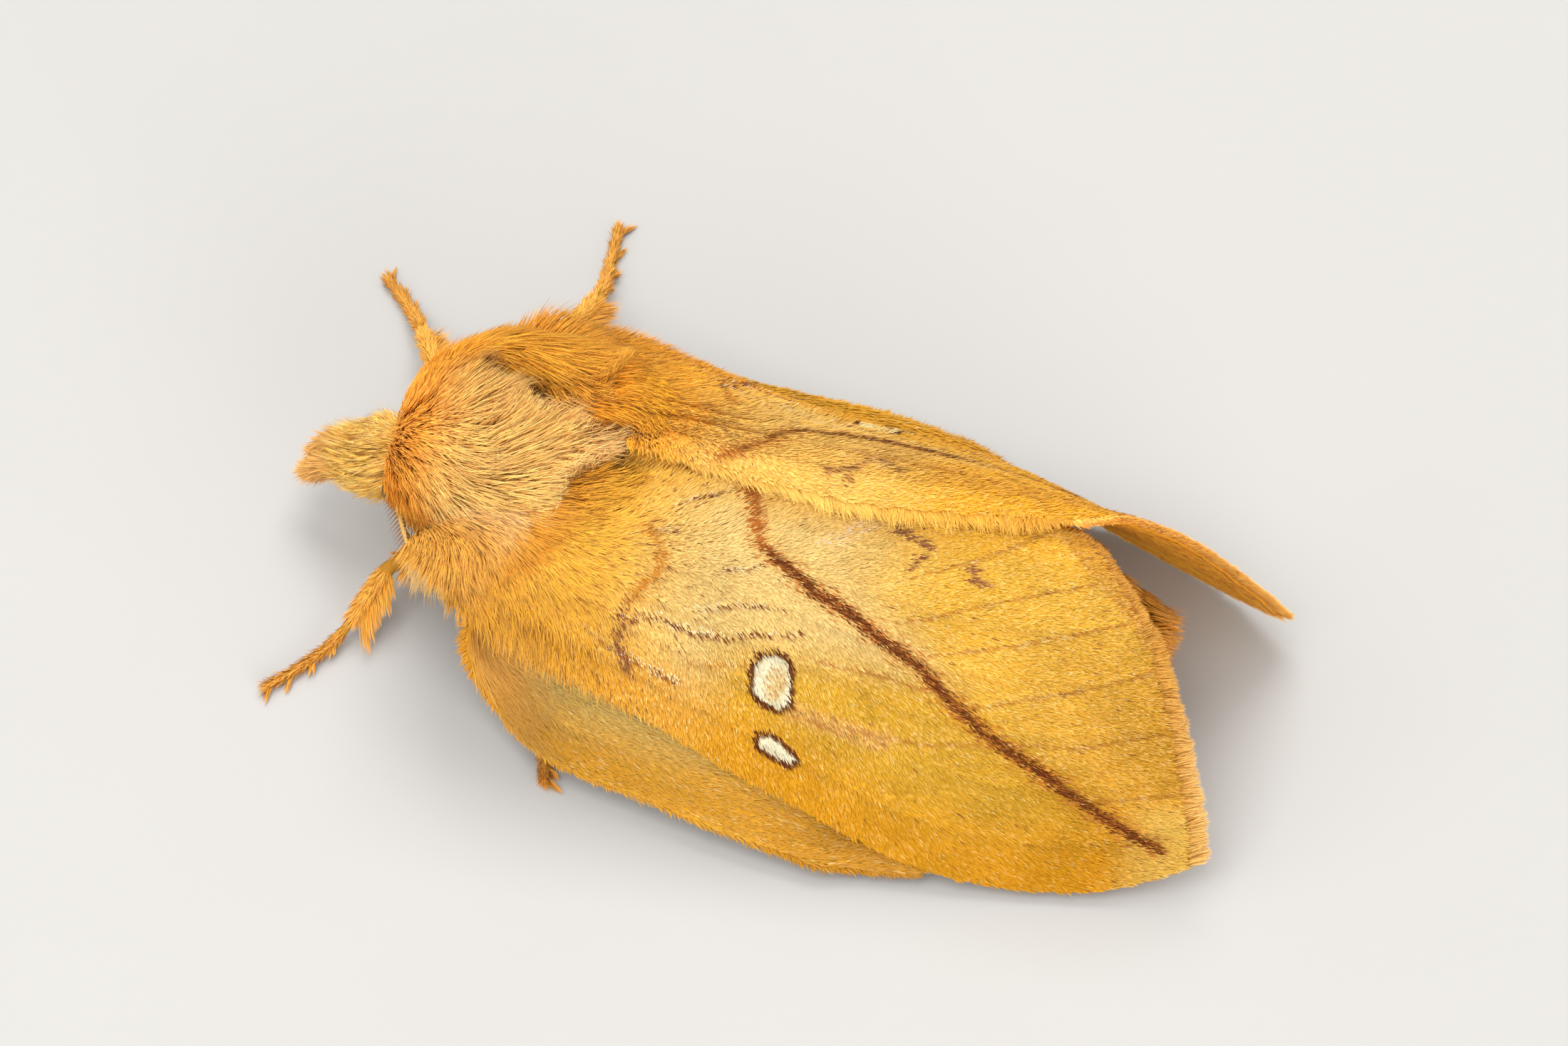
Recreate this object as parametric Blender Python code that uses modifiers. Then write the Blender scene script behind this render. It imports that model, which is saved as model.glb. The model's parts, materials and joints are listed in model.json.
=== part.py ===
"""A drinker moth at rest on level ground, life size. Metres, Z up, head towards -X, its left side towards -Y."""

import math
import random

import bmesh
import bpy
from mathutils import Vector

# Every length below is in millimetres, and every angle in degrees.
MILLIMETRE = 0.001
FORWARD = Vector((1.0, 0.0, 0.0))
SIDEWAYS = Vector((0.0, 1.0, 0.0))
UPWARDS = Vector((0.0, 0.0, 1.0))

# The roof of the folded wings: ridge height and slopes at the root and 30 mm behind it.
ROOF_LENGTH = 30.0
RIDGE_HEIGHT = 10.9
RIDGE_RISE = 4.5
CREST_SLOPE_ROOT = 10.0
CREST_SLOPE_TIP = 71.0
EDGE_SLOPE_ROOT = 50.0
EDGE_SLOPE_TIP = 63.5
SLOPE_WIDTH = 13.0
SLOPE_POWER = 1.34
RIDGE_TUCK = 1.05
RIGHT_STEEPER = 9.0

WING_THICKNESS = 0.5
FORE_COLUMNS = 14
FORE_VEINS = (0.09, 0.21, 0.34, 0.47, 0.6, 0.73, 0.87)
FORE_VEIN_WIDTH = 0.024
HIND_COLUMNS = 12
HIND_VEINS = (0.12, 0.36, 0.6, 0.82)
HIND_VEIN_WIDTH = 0.03
VEIN_HEIGHT = 0.2
HIND_SET_IN = 1.3

# Outlines of a forewing laid flat: distance behind the wing root, and distance down from the ridge.
FORE_COSTA = (
    (-2.2, 7.1), (0.0, 8.2), (3.0, 9.35), (5.7, 10.4), (8.1, 11.3), (10.7, 12.4), (13.3, 13.4),
    (16.7, 15.0), (19.0, 15.85), (22.1, 16.35), (25.5, 16.2), (27.6, 15.5), (29.65, 14.4),
)
FORE_TERMEN = (
    (22.3, 0.1), (23.4, 0.7), (24.5, 2.0), (25.5, 3.5), (26.35, 4.85), (27.0, 6.4), (27.7, 8.1),
    (28.1, 9.2), (28.6, 10.7), (29.1, 12.2), (29.65, 14.4),
)
FORE_ROOT = ((3.4, 1.0), (2.5, 3.0), (0.35, 5.3), (-2.2, 7.1))
LEFT_INNER = ((3.4, 0.6), (5.5, 0.0), (8.0, -0.25), (14.0, -0.3), (19.0, -0.3), (21.7, -0.2))
RIGHT_INNER = ((3.4, -0.25), (7.0, -0.6), (11.0, -0.95), (14.5, -0.95), (19.0, -0.35), (22.3, 0.05))
# The costal edge of a hindwing, which stands out below the forewing: x, distance from the middle, height.
HIND_EDGE = (
    (-1.0, 6.9, 6.0), (-0.95, 7.4, 4.8), (-0.6, 7.8, 3.5), (0.1, 8.2, 2.6), (0.9, 8.7, 2.1), (1.7, 9.2, 1.9),
    (2.9, 9.7, 1.8), (4.2, 10.0, 1.7), (5.4, 10.1, 1.7), (7.6, 10.3, 1.7), (10.3, 10.5, 1.6), (12.9, 10.55, 1.4),
    (14.6, 10.55, 1.2), (16.0, 10.2, 1.0),
)
HIND_REAR = 21.0
# Where a hindwing runs under the forewing: its inner edge's distance down from the ridge at the front, the middle
# and the rear, how far its last hidden line lies above the costa there, and how the lines between are shared out.
HIND_INNER_FRONT = {-1: 6.0, 1: 6.5}
HIND_INNER_MIDDLE = 2.8
HIND_INNER_REAR = 5.0
HIND_UNDER_FRONT = 0.95
HIND_UNDER_MIDDLE = 1.3
HIND_UNDER_REAR = 2.2
HIND_SHARES = (0.0, 0.45, 0.78, 1.0)
HIND_EDGE_TUCK = 1.2
HIND_SWELL_END = {-1: 9.0, 1: 7.5}
HIND_SWELL = Vector((0.0, 0.25, 0.1))
HIND_RISE = 0.5
RIGHT_HIND_SPREAD = 0.3
RIGHT_HIND_SINK = 0.25

# Body lofts: x, half width, lowest and highest point.
THORAX_CORE = (
    (-6.0, 1.0, 7.1, 8.2), (-5.5, 1.9, 6.7, 9.2), (-4.9, 2.6, 6.0, 9.8), (-4.2, 3.4, 4.2, 10.3),
    (-3.2, 4.1, 3.4, 10.6), (-1.8, 4.5, 3.0, 10.6), (-0.3, 4.4, 2.9, 10.1), (1.2, 3.8, 3.1, 9.5),
    (2.4, 3.0, 3.7, 8.8), (3.2, 1.9, 4.8, 8.0),
)
HEAD_CORE = (
    (-8.6, 0.7, 3.6, 4.8), (-8.2, 1.1, 3.2, 5.4), (-7.5, 1.25, 3.0, 6.0), (-6.7, 0.9, 3.0, 6.2),
    (-6.0, 0.7, 3.2, 6.1), (-5.5, 0.5, 3.9, 5.5),
)
ABDOMEN_CORE = (
    (4.0, 1.9, 3.8, 6.8), (4.8, 2.6, 3.0, 7.6), (6.6, 3.3, 2.3, 8.3), (9.5, 3.5, 2.1, 8.5),
    (13.0, 3.5, 2.2, 8.6), (16.5, 3.4, 2.6, 8.7), (19.5, 3.0, 3.4, 8.8), (22.0, 2.4, 4.4, 8.9),
    (24.0, 1.8, 5.4, 8.6), (25.0, 1.2, 6.1, 8.1),
)
# The outer surface of the thorax's hair, which the tips of its locks reach.
THORAX_COAT = (
    (-7.0, 1.6, 6.4, 8.6), (-6.2, 2.7, 5.4, 10.0), (-5.2, 3.7, 4.6, 11.0), (-4.2, 4.6, 4.0, 11.6),
    (-3.0, 5.2, 3.4, 12.0), (-1.5, 5.5, 3.0, 12.2), (0.0, 5.6, 3.0, 12.4), (2.0, 5.3, 4.4, 13.0),
    (4.0, 4.4, 6.0, 13.0), (6.2, 3.0, 8.0, 13.4),
)
# The same for the head and the abdomen: how far it stands off the core, and where it ends.
HEAD_COAT = 0.42
HEAD_COAT_END = (-9.6, 0.7, 3.6, 5.2)
TAIL_COAT = 0.35
TAIL_COAT_END = (26.2, 0.9, 6.1, 8.0)
EYE_RADIUS = 0.7
EYE_CENTRE = (-5.85, 1.75, 5.3)
BODY_SIDES = 20
BODY_SQUARENESS = 2.3

# The legs: femur, tibia and tarsus as points along each, with the radius at each point.
LEG_SIDES = 8
LEGS = {
    "leg_fore_left": (
        ((-3.0, -1.0, 2.1), (-4.3, -2.1, 2.2), (-5.4, -3.2, 2.5)),
        ((-5.75, -3.7, 2.5), (-6.15, -4.6, 1.9), (-6.6, -5.55, 1.15)),
        ((-6.85, -6.05, 0.8), (-7.35, -6.95, 0.45), (-8.2, -8.2, 0.3), (-9.1, -9.35, 0.27)),
    ),
    "leg_fore_right": (
        ((-3.0, 1.0, 2.1), (-4.8, 2.6, 2.6), (-6.2, 4.0, 3.4)),
        ((-6.5, 4.6, 3.55), (-7.5, 6.3, 2.7), (-8.6, 8.0, 1.6)),
        ((-8.95, 8.5, 1.25), (-9.7, 9.5, 0.6), (-10.6, 10.4, 0.3), (-11.5, 11.1, 0.27)),
    ),
    "leg_mid_left": (
        ((-1.0, -1.3, 2.1), (0.2, -3.4, 2.4), (1.2, -5.4, 3.0)),
        ((1.5, -6.05, 2.95), (1.9, -6.9, 2.1), (2.3, -7.8, 1.2)),
        ((2.48, -8.33, 0.82), (2.67, -8.8, 0.5), (2.9, -9.3, 0.3), (3.1, -9.9, 0.27)),
    ),
    "leg_mid_right": (
        ((-1.6, 1.3, 2.1), (-2.2, 4.4, 2.9), (-2.5, 7.4, 3.9)),
        ((-2.5, 8.0, 3.95), (-2.4, 9.8, 3.1), (-2.35, 11.6, 2.0)),
        ((-2.4, 12.15, 1.6), (-2.6, 13.4, 0.8), (-2.9, 15.0, 0.3), (-3.15, 16.6, 0.27)),
    ),
    "leg_hind_left": (
        ((1.0, -1.8, 1.7), (2.9, -3.6, 1.9), (4.8, -5.3, 2.3)),
        ((5.35, -5.6, 2.35), (7.3, -6.2, 1.8), (9.2, -6.7, 1.1)),
        ((9.75, -6.8, 0.85), (10.8, -7.0, 0.5), (12.4, -7.2, 0.3), (14.2, -7.3, 0.27)),
    ),
    "leg_hind_right": (
        ((1.0, 1.8, 1.7), (2.9, 3.6, 1.9), (4.8, 5.3, 2.3)),
        ((5.35, 5.6, 2.35), (7.3, 6.2, 1.8), (9.2, 6.7, 1.1)),
        ((9.75, 6.8, 0.85), (10.8, 7.0, 0.5), (12.4, 7.2, 0.3), (14.2, 7.3, 0.27)),
    ),
}
FEMUR_RADII = (0.42, 0.5, 0.42)
TIBIA_RADII = (0.42, 0.5, 0.38)
TARSUS_RADII = (0.32, 0.32, 0.3, 0.29)

# The left feeler, laid back along the side of the thorax. The right one is its mirror image, a little lower.
ANTENNA_PATH = (
    (-6.2, -1.5, 6.65), (-5.75, -2.3, 6.45), (-5.1, -3.35, 5.95), (-4.2, -4.45, 5.4), (-2.9, -5.2, 5.0),
    (-1.6, -5.7, 4.7), (-0.2, -6.0, 4.4),
)
RIGHT_ANTENNA_DROP = 0.5
ANTENNA_RADIUS = 0.28

PALP_PATH = ((-9.2, 0.6, 3.9), (-9.45, 0.62, 3.75), (-9.85, 0.58, 3.4), (-10.25, 0.5, 3.0))
PALP_RADII = (0.36, 0.44, 0.4, 0.26)

# Locks of hair. Thorax rows: x of the roots, length, how many, and the turns they span, where 90 is the top.
LOCK_THICKNESS = 0.55
LOCK_SINK = 0.3
THORAX_LOCK_WIDTH = 1.75
SIDE_LOCK_WIDTH = 1.5
HEAD_LOCK_WIDTH = 0.85
TAIL_LOCK_WIDTH = 1.3
THORAX_LOCKS = (
    (-5.95, 1.9, 5, 20, 160), (-5.3, 2.6, 6, 25, 155), (-4.5, 3.0, 7, 26, 157), (-3.6, 3.4, 8, 34, 152),
    (-2.6, 3.6, 9, 38, 148), (-1.6, 3.8, 8, 48, 143), (-0.7, 4.4, 7, 58, 135), (0.0, 5.3, 5, 62, 126),
)
SIDE_LOCKS = (
    (-5.2, 1.7, 2, 0, 30), (-5.2, 1.7, 2, 150, 180), (-4.4, 1.7, 2, -2, 22), (-4.4, 1.7, 2, 158, 182),
    (-4.9, 1.5, 4, 225, 315), (-3.8, 1.6, 2, -8, 12), (-3.5, 2.0, 2, 164, 186),
)
HEAD_LOCKS = ((-7.3, -1.5, 5, 30, 150), (-8.0, -1.3, 5, 0, 180))
TAIL_LOCKS = ((21.8, 3.2, 8, 0, 360), (23.2, 2.9, 7, 20, 380), (24.3, 1.9, 4, 0, 360))
FEATHER_LENGTH = 1.3
FEATHER_WIDTH = 0.84
FEATHER_LOWEST = 0.35
PALP_LOCK_LENGTH = 1.1
PALP_LOCK_WIDTH = 0.62
PALP_LOCK_STAND = 0.43
# Place along the palp, and which way the lock stands: upwards and sideways.
PALP_LOCKS = ((0.15, 0.5, 0.35), (0.4, -0.6, 0.3), (0.45, 0.55, 0.1), (0.7, 0.0, 0.45))
TIBIA_FEATHERS = 6
FEMUR_FEATHERS = 3
TOOTH_LENGTH = 0.85
TOOTH_RADIUS = 0.24
TEETH = 11
SEED = 4

COLOURS = {
    "head": (0.62, 0.33, 0.12),
    "palp": (0.66, 0.36, 0.13),
    "eye": (0.05, 0.035, 0.02),
    "antenna": (0.62, 0.45, 0.25),
    "thorax": (0.66, 0.34, 0.1),
    "abdomen": (0.6, 0.27, 0.06),
    "forewing": (0.8, 0.46, 0.07),
    "hindwing": (0.74, 0.36, 0.07),
    "leg": (0.68, 0.3, 0.06),
}


def clear_scene():
    for item in list(bpy.data.objects):
        bpy.data.objects.remove(item)


def new_collection(name):
    made = bpy.data.collections.new(name)
    bpy.context.scene.collection.children.link(made)
    return made


def new_material(name, colour):
    made = bpy.data.materials.new(name)
    made.use_nodes = True
    shader = made.node_tree.nodes["Principled BSDF"]
    shader.inputs["Base Color"].default_value = (*colour, 1.0)
    shader.inputs["Roughness"].default_value = 0.8
    return made


def new_object(name, points, faces, collection):
    mesh = bpy.data.meshes.new(name)
    mesh.from_pydata([Vector(p) * MILLIMETRE for p in points], [], faces)
    mesh.update()
    made = bpy.data.objects.new(name, mesh)
    collection.objects.link(made)
    return made


def face_outwards(item):
    shape = bmesh.new()
    shape.from_mesh(item.data)
    bmesh.ops.recalc_face_normals(shape, faces=shape.faces)
    shape.to_mesh(item.data)
    shape.free()


def mix(a, b, t):
    return a + (b - a) * t


def ease(t):
    t = min(max(t, 0.0), 1.0)
    return t * t * (3.0 - 2.0 * t)


def along(points, t):
    # The point at the fraction t of a smooth line through the points.
    points = [Vector(p) for p in points]
    lengths = [(b - a).length for a, b in zip(points, points[1:])]
    left = min(max(t, 0.0), 1.0) * sum(lengths)
    index = 0
    while index < len(lengths) - 1 and left > lengths[index]:
        left -= lengths[index]
        index += 1
    u = left / lengths[index]
    start = points[index]
    end = points[index + 1]
    before = points[index - 1] if index else start * 2 - end
    after = points[index + 2] if index + 2 < len(points) else end * 2 - start
    leave = (end - before) * 0.5
    arrive = (after - start) * 0.5
    a = start * (2 * u**3 - 3 * u**2 + 1) + leave * (u**3 - 2 * u**2 + u)
    b = end * (3 * u**2 - 2 * u**3) + arrive * (u**3 - u**2)
    return a + b


def ridge_height(x):
    return RIDGE_HEIGHT + RIDGE_RISE * min(max(x / ROOF_LENGTH, 0.0), 1.1)


def roof_slope(x, down, side):
    back = min(max(x / ROOF_LENGTH, 0.0), 1.1)
    crest = mix(CREST_SLOPE_ROOT, CREST_SLOPE_TIP, back)
    edge = mix(EDGE_SLOPE_ROOT, EDGE_SLOPE_TIP, back)
    if side > 0:
        extra = RIGHT_STEEPER * (1.0 - 0.85 * ease((x - 5.0) / 14.0))
        crest += extra * 1.3
        edge += extra
    part = min(max(down / SLOPE_WIDTH, 0.0), 1.3) ** SLOPE_POWER
    rounded = min(1.0, 0.25 + 0.5 * down)
    return math.radians(mix(crest, edge, part) * rounded)


def roof_point(x, down, side, set_in=0.0):
    # A point of the roof, this far down from the ridge along its own curve, and set in below it.
    if down < 0.0:
        slope = math.radians(0.3 * mix(CREST_SLOPE_ROOT, CREST_SLOPE_TIP, min(max(x / ROOF_LENGTH, 0.0), 1.1)))
        height = ridge_height(x) + down * math.sin(slope)
        return Vector((x, side * down * math.cos(slope), height - set_in))
    steps = 16
    out = 0.0
    height = ridge_height(x)
    for step in range(steps):
        slope = roof_slope(x, down * (step + 0.5) / steps, side)
        out += math.cos(slope) * down / steps
        height -= math.sin(slope) * down / steps
    slope = roof_slope(x, down, side)
    return Vector((x, side * (out - set_in * math.sin(slope)), height - set_in * math.cos(slope)))


def vein_rows(veins, half):
    rows = [0.0]
    for vein in veins:
        rows += [vein - half, vein, vein + half]
    return rows + [1.0]


def vein_rise(row, back):
    if row % 3 != 2:
        return 0.0
    return VEIN_HEIGHT * ease(back / 0.12) * ease((1.0 - back) / 0.06)


def sheet(name, grid, flip, collection):
    # A membrane from rows of points, thickened inwards.
    rows = len(grid)
    columns = len(grid[0])
    points = [p for row in grid for p in row]
    faces = []
    for row in range(rows - 1):
        for column in range(columns - 1):
            a = row * columns + column
            quad = (a, a + 1, a + columns + 1, a + columns)
            faces.append(quad[::-1] if flip else quad)
    made = new_object(name, points, faces, collection)
    triangles = made.modifiers.new("triangles", "TRIANGULATE")
    triangles.quad_method = "FIXED"
    thickness = made.modifiers.new("thickness", "SOLIDIFY")
    thickness.thickness = WING_THICKNESS * MILLIMETRE
    thickness.offset = -1.0
    apply_modifiers(made)
    return made


def apply_modifiers(item):
    graph = bpy.context.evaluated_depsgraph_get()
    graph.update()
    mesh = bpy.data.meshes.new_from_object(item.evaluated_get(graph))
    item.modifiers.clear()
    item.data = mesh


def fore_plan(inner, back, down):
    # A patch filled in between the four outlines of the wing.
    root = ((inner[0][0], inner[0][1]), *FORE_ROOT[1:])
    termen = ((inner[-1][0], inner[-1][1]), *FORE_TERMEN[1:])
    across = along(inner, back).lerp(along(FORE_COSTA, back), down)
    lengthwise = along(root, down).lerp(along(termen, down), back)
    near = Vector(inner[0]).lerp(Vector(FORE_COSTA[0]), down)
    far = Vector(inner[-1]).lerp(Vector(FORE_COSTA[-1]), down)
    return across + lengthwise - near.lerp(far, back)


def forewing(name, side, collection):
    inner = LEFT_INNER if side < 0 else RIGHT_INNER
    rows = vein_rows(FORE_VEINS, FORE_VEIN_WIDTH)
    grid = []
    for row, down in enumerate(rows):
        line = []
        for column in range(FORE_COLUMNS + 1):
            back = column / FORE_COLUMNS
            x, w = fore_plan(inner, back, down)
            point = roof_point(x, w, side, -vein_rise(row, back))
            if side < 0:
                point.z -= RIDGE_TUCK * (1.0 - ease((w - 0.9) / 4.0))
            line.append(point)
        grid.append(line)
    return sheet(name, grid, side < 0, collection)


def costa_down(x):
    # How far down from the ridge the costa of the forewing lies at x.
    low = 0.0
    high = 1.0
    for _ in range(24):
        middle = (low + high) / 2
        if along(FORE_COSTA, middle).x < x:
            low = middle
        else:
            high = middle
    return along(FORE_COSTA, low).y


def hind_edge(back, side):
    x = mix(-1.0, HIND_REAR, back)
    reach = HIND_EDGE[-1][0]
    if x > reach:
        hidden = roof_point(x, costa_down(x) - HIND_EDGE_TUCK, side, HIND_SET_IN)
        last = Vector(HIND_EDGE[-1])
        last.y *= side
        if side > 0:
            last.z -= RIGHT_HIND_SINK
        part = (x - reach) / 2.5
        last.x = x
        last.y = mix(last.y, hidden.y, ease(part * 1.5))
        last.z = mix(last.z, hidden.z, ease(part * 1.5 - 0.5))
        return last
    point = along(HIND_EDGE, (x + 1.0) / (reach + 1.0))
    if side > 0:
        front = 1.0 - ease((point.x + 1.0) / 3.0)
        point.y += RIGHT_HIND_SPREAD * ease((8.0 - point.x) / 6.0)
        point.z -= 0.7 * front + RIGHT_HIND_SINK * ease((point.x - 11.0) / 4.0)
    point.y *= side
    return point


def hind_line(back, side):
    # One station of a hindwing, from beside the abdomen out to its costal edge.
    x = mix(-0.4, HIND_REAR, back)
    costa = costa_down(x)
    inner = mix(HIND_INNER_FRONT[side], HIND_INNER_MIDDLE, ease(back / 0.3))
    inner = mix(inner, HIND_INNER_REAR, ease((back - 0.5) / 0.5))
    under = mix(HIND_UNDER_FRONT, HIND_UNDER_MIDDLE, ease((x + 0.4) / 3.0))
    under = mix(under, HIND_UNDER_REAR, ease((x - 14.5) / 2.5))
    marks = [mix(inner, costa - under, share) for share in HIND_SHARES]
    set_in = HIND_SET_IN + (0.15 * (1.0 - ease((x - 6.0) / 6.0)) if side > 0 else 0.0)
    line = [roof_point(x, mark, side, set_in) for mark in marks]
    if side < 0:
        for mark, point in zip(marks, line):
            point.z -= RIDGE_TUCK * (1.0 - ease((mark - 0.9) / 4.0))
    edge = hind_edge(back, side)
    swell = mix(1.0, -3.0, ease((x - HIND_SWELL_END[side]) / 6.0))
    swell = mix(swell, 0.0, ease((x - 15.8) / 1.6))
    bulge = HIND_SWELL * swell
    bulge.y *= side
    line.append(line[-1].lerp(edge, 0.55) + bulge)
    line.append(edge)
    return line


def hindwing(name, side, collection):
    rows = vein_rows(HIND_VEINS, HIND_VEIN_WIDTH)
    stations = [hind_line(column / HIND_COLUMNS, side) for column in range(HIND_COLUMNS + 1)]
    grid = []
    for row, down in enumerate(rows):
        line = []
        for column, station in enumerate(stations):
            point = along(station, down)
            back = column / HIND_COLUMNS
            rise = HIND_RISE * vein_rise(row, back) * ease((back - 0.1) / 0.2)
            point += Vector((0.0, side * rise, rise))
            line.append(point)
        grid.append(line)
    return sheet(name, grid, side < 0, collection)


def ring(centre, way, across, width, height, sides, squareness=2.0, offset=0.5):
    # A closed section round centre. It faces along way, with its width along across.
    across = (across - way * across.dot(way)).normalized()
    up = across.cross(way)
    points = []
    for index in range(sides):
        turn = 2 * math.pi * (index + offset) / sides
        c = math.cos(turn)
        s = math.sin(turn)
        a = math.copysign(abs(c) ** (2 / squareness), c)
        b = math.copysign(abs(s) ** (2 / squareness), s)
        points.append(centre + across * (a * width) + up * (b * height))
    return points


def loft(name, rings, collection, start=None, end=None, lowest=None):
    # A closed body through the sections, with a point or a flat cap at each end.
    sides = len(rings[0])
    points = [p.copy() for section in rings for p in section]
    faces = []
    for k in range(len(rings) - 1):
        for index in range(sides):
            a = k * sides + index
            b = k * sides + (index + 1) % sides
            faces.append((a, b, b + sides, a + sides))
    last = (len(rings) - 1) * sides
    if start is None:
        faces.append(tuple(range(sides - 1, -1, -1)))
    else:
        points.append(start.copy())
        faces += [((index + 1) % sides, index, len(points) - 1) for index in range(sides)]
    if end is None:
        faces.append(tuple(range(last, last + sides)))
    else:
        points.append(end.copy())
        faces += [(last + index, last + (index + 1) % sides, len(points) - 1) for index in range(sides)]
    if lowest is not None:
        for point in points:
            point.z = max(point.z, lowest)
    made = new_object(name, points, faces, collection)
    face_outwards(made)
    return made


def body(name, stations, collection):
    rings = []
    for x, half, low, high in stations:
        centre = Vector((x, 0.0, (low + high) / 2))
        height = (high - low) / 2
        rings.append(ring(centre, FORWARD, SIDEWAYS, half, height, BODY_SIDES, BODY_SQUARENESS))
    first = stations[0]
    last = stations[-1]
    start = Vector((first[0] - 0.25, 0.0, (first[2] + first[3]) / 2))
    end = Vector((last[0] + 0.25, 0.0, (last[2] + last[3]) / 2))
    return loft(name, rings, collection, start, end)


def limb(name, path, radii, collection, lowest=None, sides=LEG_SIDES, steps=4, flat=1.0):
    # A rounded rod along the path.
    count = steps * (len(path) - 1)
    spots = [along(path, k / count) for k in range(count + 1)]
    rings = []
    for k, spot in enumerate(spots):
        way = (spots[min(k + 1, count)] - spots[max(k - 1, 0)]).normalized()
        place = k / count * (len(radii) - 1)
        index = min(int(place), len(radii) - 2)
        radius = mix(radii[index], radii[index + 1], place - index)
        across = way.cross(UPWARDS)
        rings.append(ring(spot, way, across, radius, radius * flat, sides))
    first = (spots[0] - spots[1]).normalized() * radii[0] * 0.3
    last = (spots[-1] - spots[-2]).normalized() * radii[-1] * 0.3
    return loft(name, rings, collection, spots[0] + first, spots[-1] + last, lowest)


def lock(name, path, width, facing, collection):
    # A flat lock of hair along three points, its broad side towards facing, ending in a tip.
    start, middle, tip = path
    rings = []
    for t, share in ((0.0, 0.85), (0.5, 1.0)):
        spot = start * (1 - t) ** 2 + middle * (2 * t * (1 - t)) + tip * t**2
        way = ((middle - start) * (1 - t) + (tip - middle) * t).normalized()
        across = way.cross(facing)
        thick = LOCK_THICKNESS / 2 * (1.0 - 0.35 * t)
        rings.append(ring(spot, way, across, width / 2 * share, thick, 4, offset=0.0))
    return loft(name, rings, collection, None, tip)


def station_at(stations, x):
    # Half width, lowest and highest point of a body where it crosses x.
    for a, b in zip(stations, stations[1:]):
        if x <= b[0]:
            part = min(max((x - a[0]) / (b[0] - a[0]), 0.0), 1.0)
            return [mix(p, q, part) for p, q in zip(a[1:], b[1:])]
    return list(stations[-1][1:])


def skin_point(stations, x, turn, shrink=0.0):
    half, low, high = station_at(stations, x)
    turn = math.radians(turn)
    out = Vector((0.0, math.cos(turn), math.sin(turn)))
    spot = Vector((x, half * out.y, (low + high) / 2 + (high - low) / 2 * out.z))
    return spot - out * shrink, out


def swollen(stations, more):
    return [(x, half + more, low - more, high + more) for x, half, low, high in stations]


def coat_rows(name, core, coat, rows, width, chance, collection):
    # Overlapping locks in rows, from the core's surface out to the coat's.
    for row, (x, length, count, first, last) in enumerate(rows):
        for index in range(count):
            shift = 0.5 if row % 2 else 0.0
            turn = mix(first, last, (index + 0.25 + shift) / count)
            turn += chance.uniform(-2.5, 2.5)
            reach = length * chance.uniform(0.88, 1.08)
            root, out = skin_point(core, x, turn, LOCK_SINK)
            halfway, _ = skin_point(coat, x + reach * 0.4, turn)
            tip, _ = skin_point(coat, x + reach, turn)
            wide = width * chance.uniform(0.9, 1.1)
            lock(f"{name}_{row}_{index}", (root, halfway, tip), wide, out, collection)


def union(item, pieces):
    # Joins the pieces to the item in one cut, and keeps the largest closed surface.
    for piece in (item, *pieces.objects):
        triangulate(piece)
    for solver in ("EXACT", "MANIFOLD"):
        join = item.modifiers.new("join", "BOOLEAN")
        join.operation = "UNION"
        join.operand_type = "COLLECTION"
        join.collection = pieces
        join.solver = solver
        before = item.data
        apply_modifiers(item)
        keep_largest(item)
        if is_closed(item):
            break
        item.data = before
    for piece in list(pieces.objects):
        bpy.data.objects.remove(piece)
    bpy.data.collections.remove(pieces)
    return item


def triangulate(item):
    shape = bmesh.new()
    shape.from_mesh(item.data)
    bmesh.ops.triangulate(shape, faces=shape.faces)
    shape.to_mesh(item.data)
    shape.free()


def is_closed(item):
    shape = bmesh.new()
    shape.from_mesh(item.data)
    closed = all(edge.is_manifold for edge in shape.edges)
    shape.free()
    return closed


def keep_largest(item):
    shape = bmesh.new()
    shape.from_mesh(item.data)
    shape.faces.ensure_lookup_table()
    left = set(shape.faces)
    shells = []
    while left:
        seed = left.pop()
        shell = {seed}
        edge_of = [seed]
        while edge_of:
            face = edge_of.pop()
            for edge in face.edges:
                for other in edge.link_faces:
                    if other in left:
                        left.remove(other)
                        shell.add(other)
                        edge_of.append(other)
        shells.append(shell)
    shells.sort(key=shell_volume)
    dropped = [face for shell in shells[:-1] for face in shell]
    bmesh.ops.delete(shape, geom=dropped, context="FACES")
    bmesh.ops.triangulate(shape, faces=shape.faces)
    shape.to_mesh(item.data)
    shape.free()


def shell_volume(shell):
    volume = 0.0
    for face in shell:
        first = face.verts[0].co
        for a, b in zip(face.verts[1:], face.verts[2:]):
            volume += first.dot(a.co.cross(b.co))
    return volume


def helper_collection(name):
    made = new_collection(name)
    made.hide_render = True
    return made


def furry_thorax(collection):
    core = body("thorax", THORAX_CORE, collection)
    pieces = helper_collection("thorax_locks")
    chance = random.Random(SEED)
    coat_rows("lock", THORAX_CORE, THORAX_COAT, THORAX_LOCKS, THORAX_LOCK_WIDTH, chance, pieces)
    coat_rows("side", THORAX_CORE, THORAX_COAT, SIDE_LOCKS, SIDE_LOCK_WIDTH, chance, pieces)
    return union(core, pieces)


def furry_head(collection):
    core = body("head", HEAD_CORE, collection)
    pieces = helper_collection("head_locks")
    chance = random.Random(SEED + 1)
    coat = [HEAD_COAT_END, *swollen(HEAD_CORE, HEAD_COAT)]
    coat_rows("lock", HEAD_CORE, coat, HEAD_LOCKS, HEAD_LOCK_WIDTH, chance, pieces)
    return union(core, pieces)


def furry_abdomen(collection):
    core = body("abdomen", ABDOMEN_CORE, collection)
    pieces = helper_collection("abdomen_locks")
    chance = random.Random(SEED + 2)
    coat = [*swollen(ABDOMEN_CORE, TAIL_COAT), TAIL_COAT_END]
    coat_rows("lock", ABDOMEN_CORE, coat, TAIL_LOCKS, TAIL_LOCK_WIDTH, chance, pieces)
    return union(core, pieces)


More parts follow.
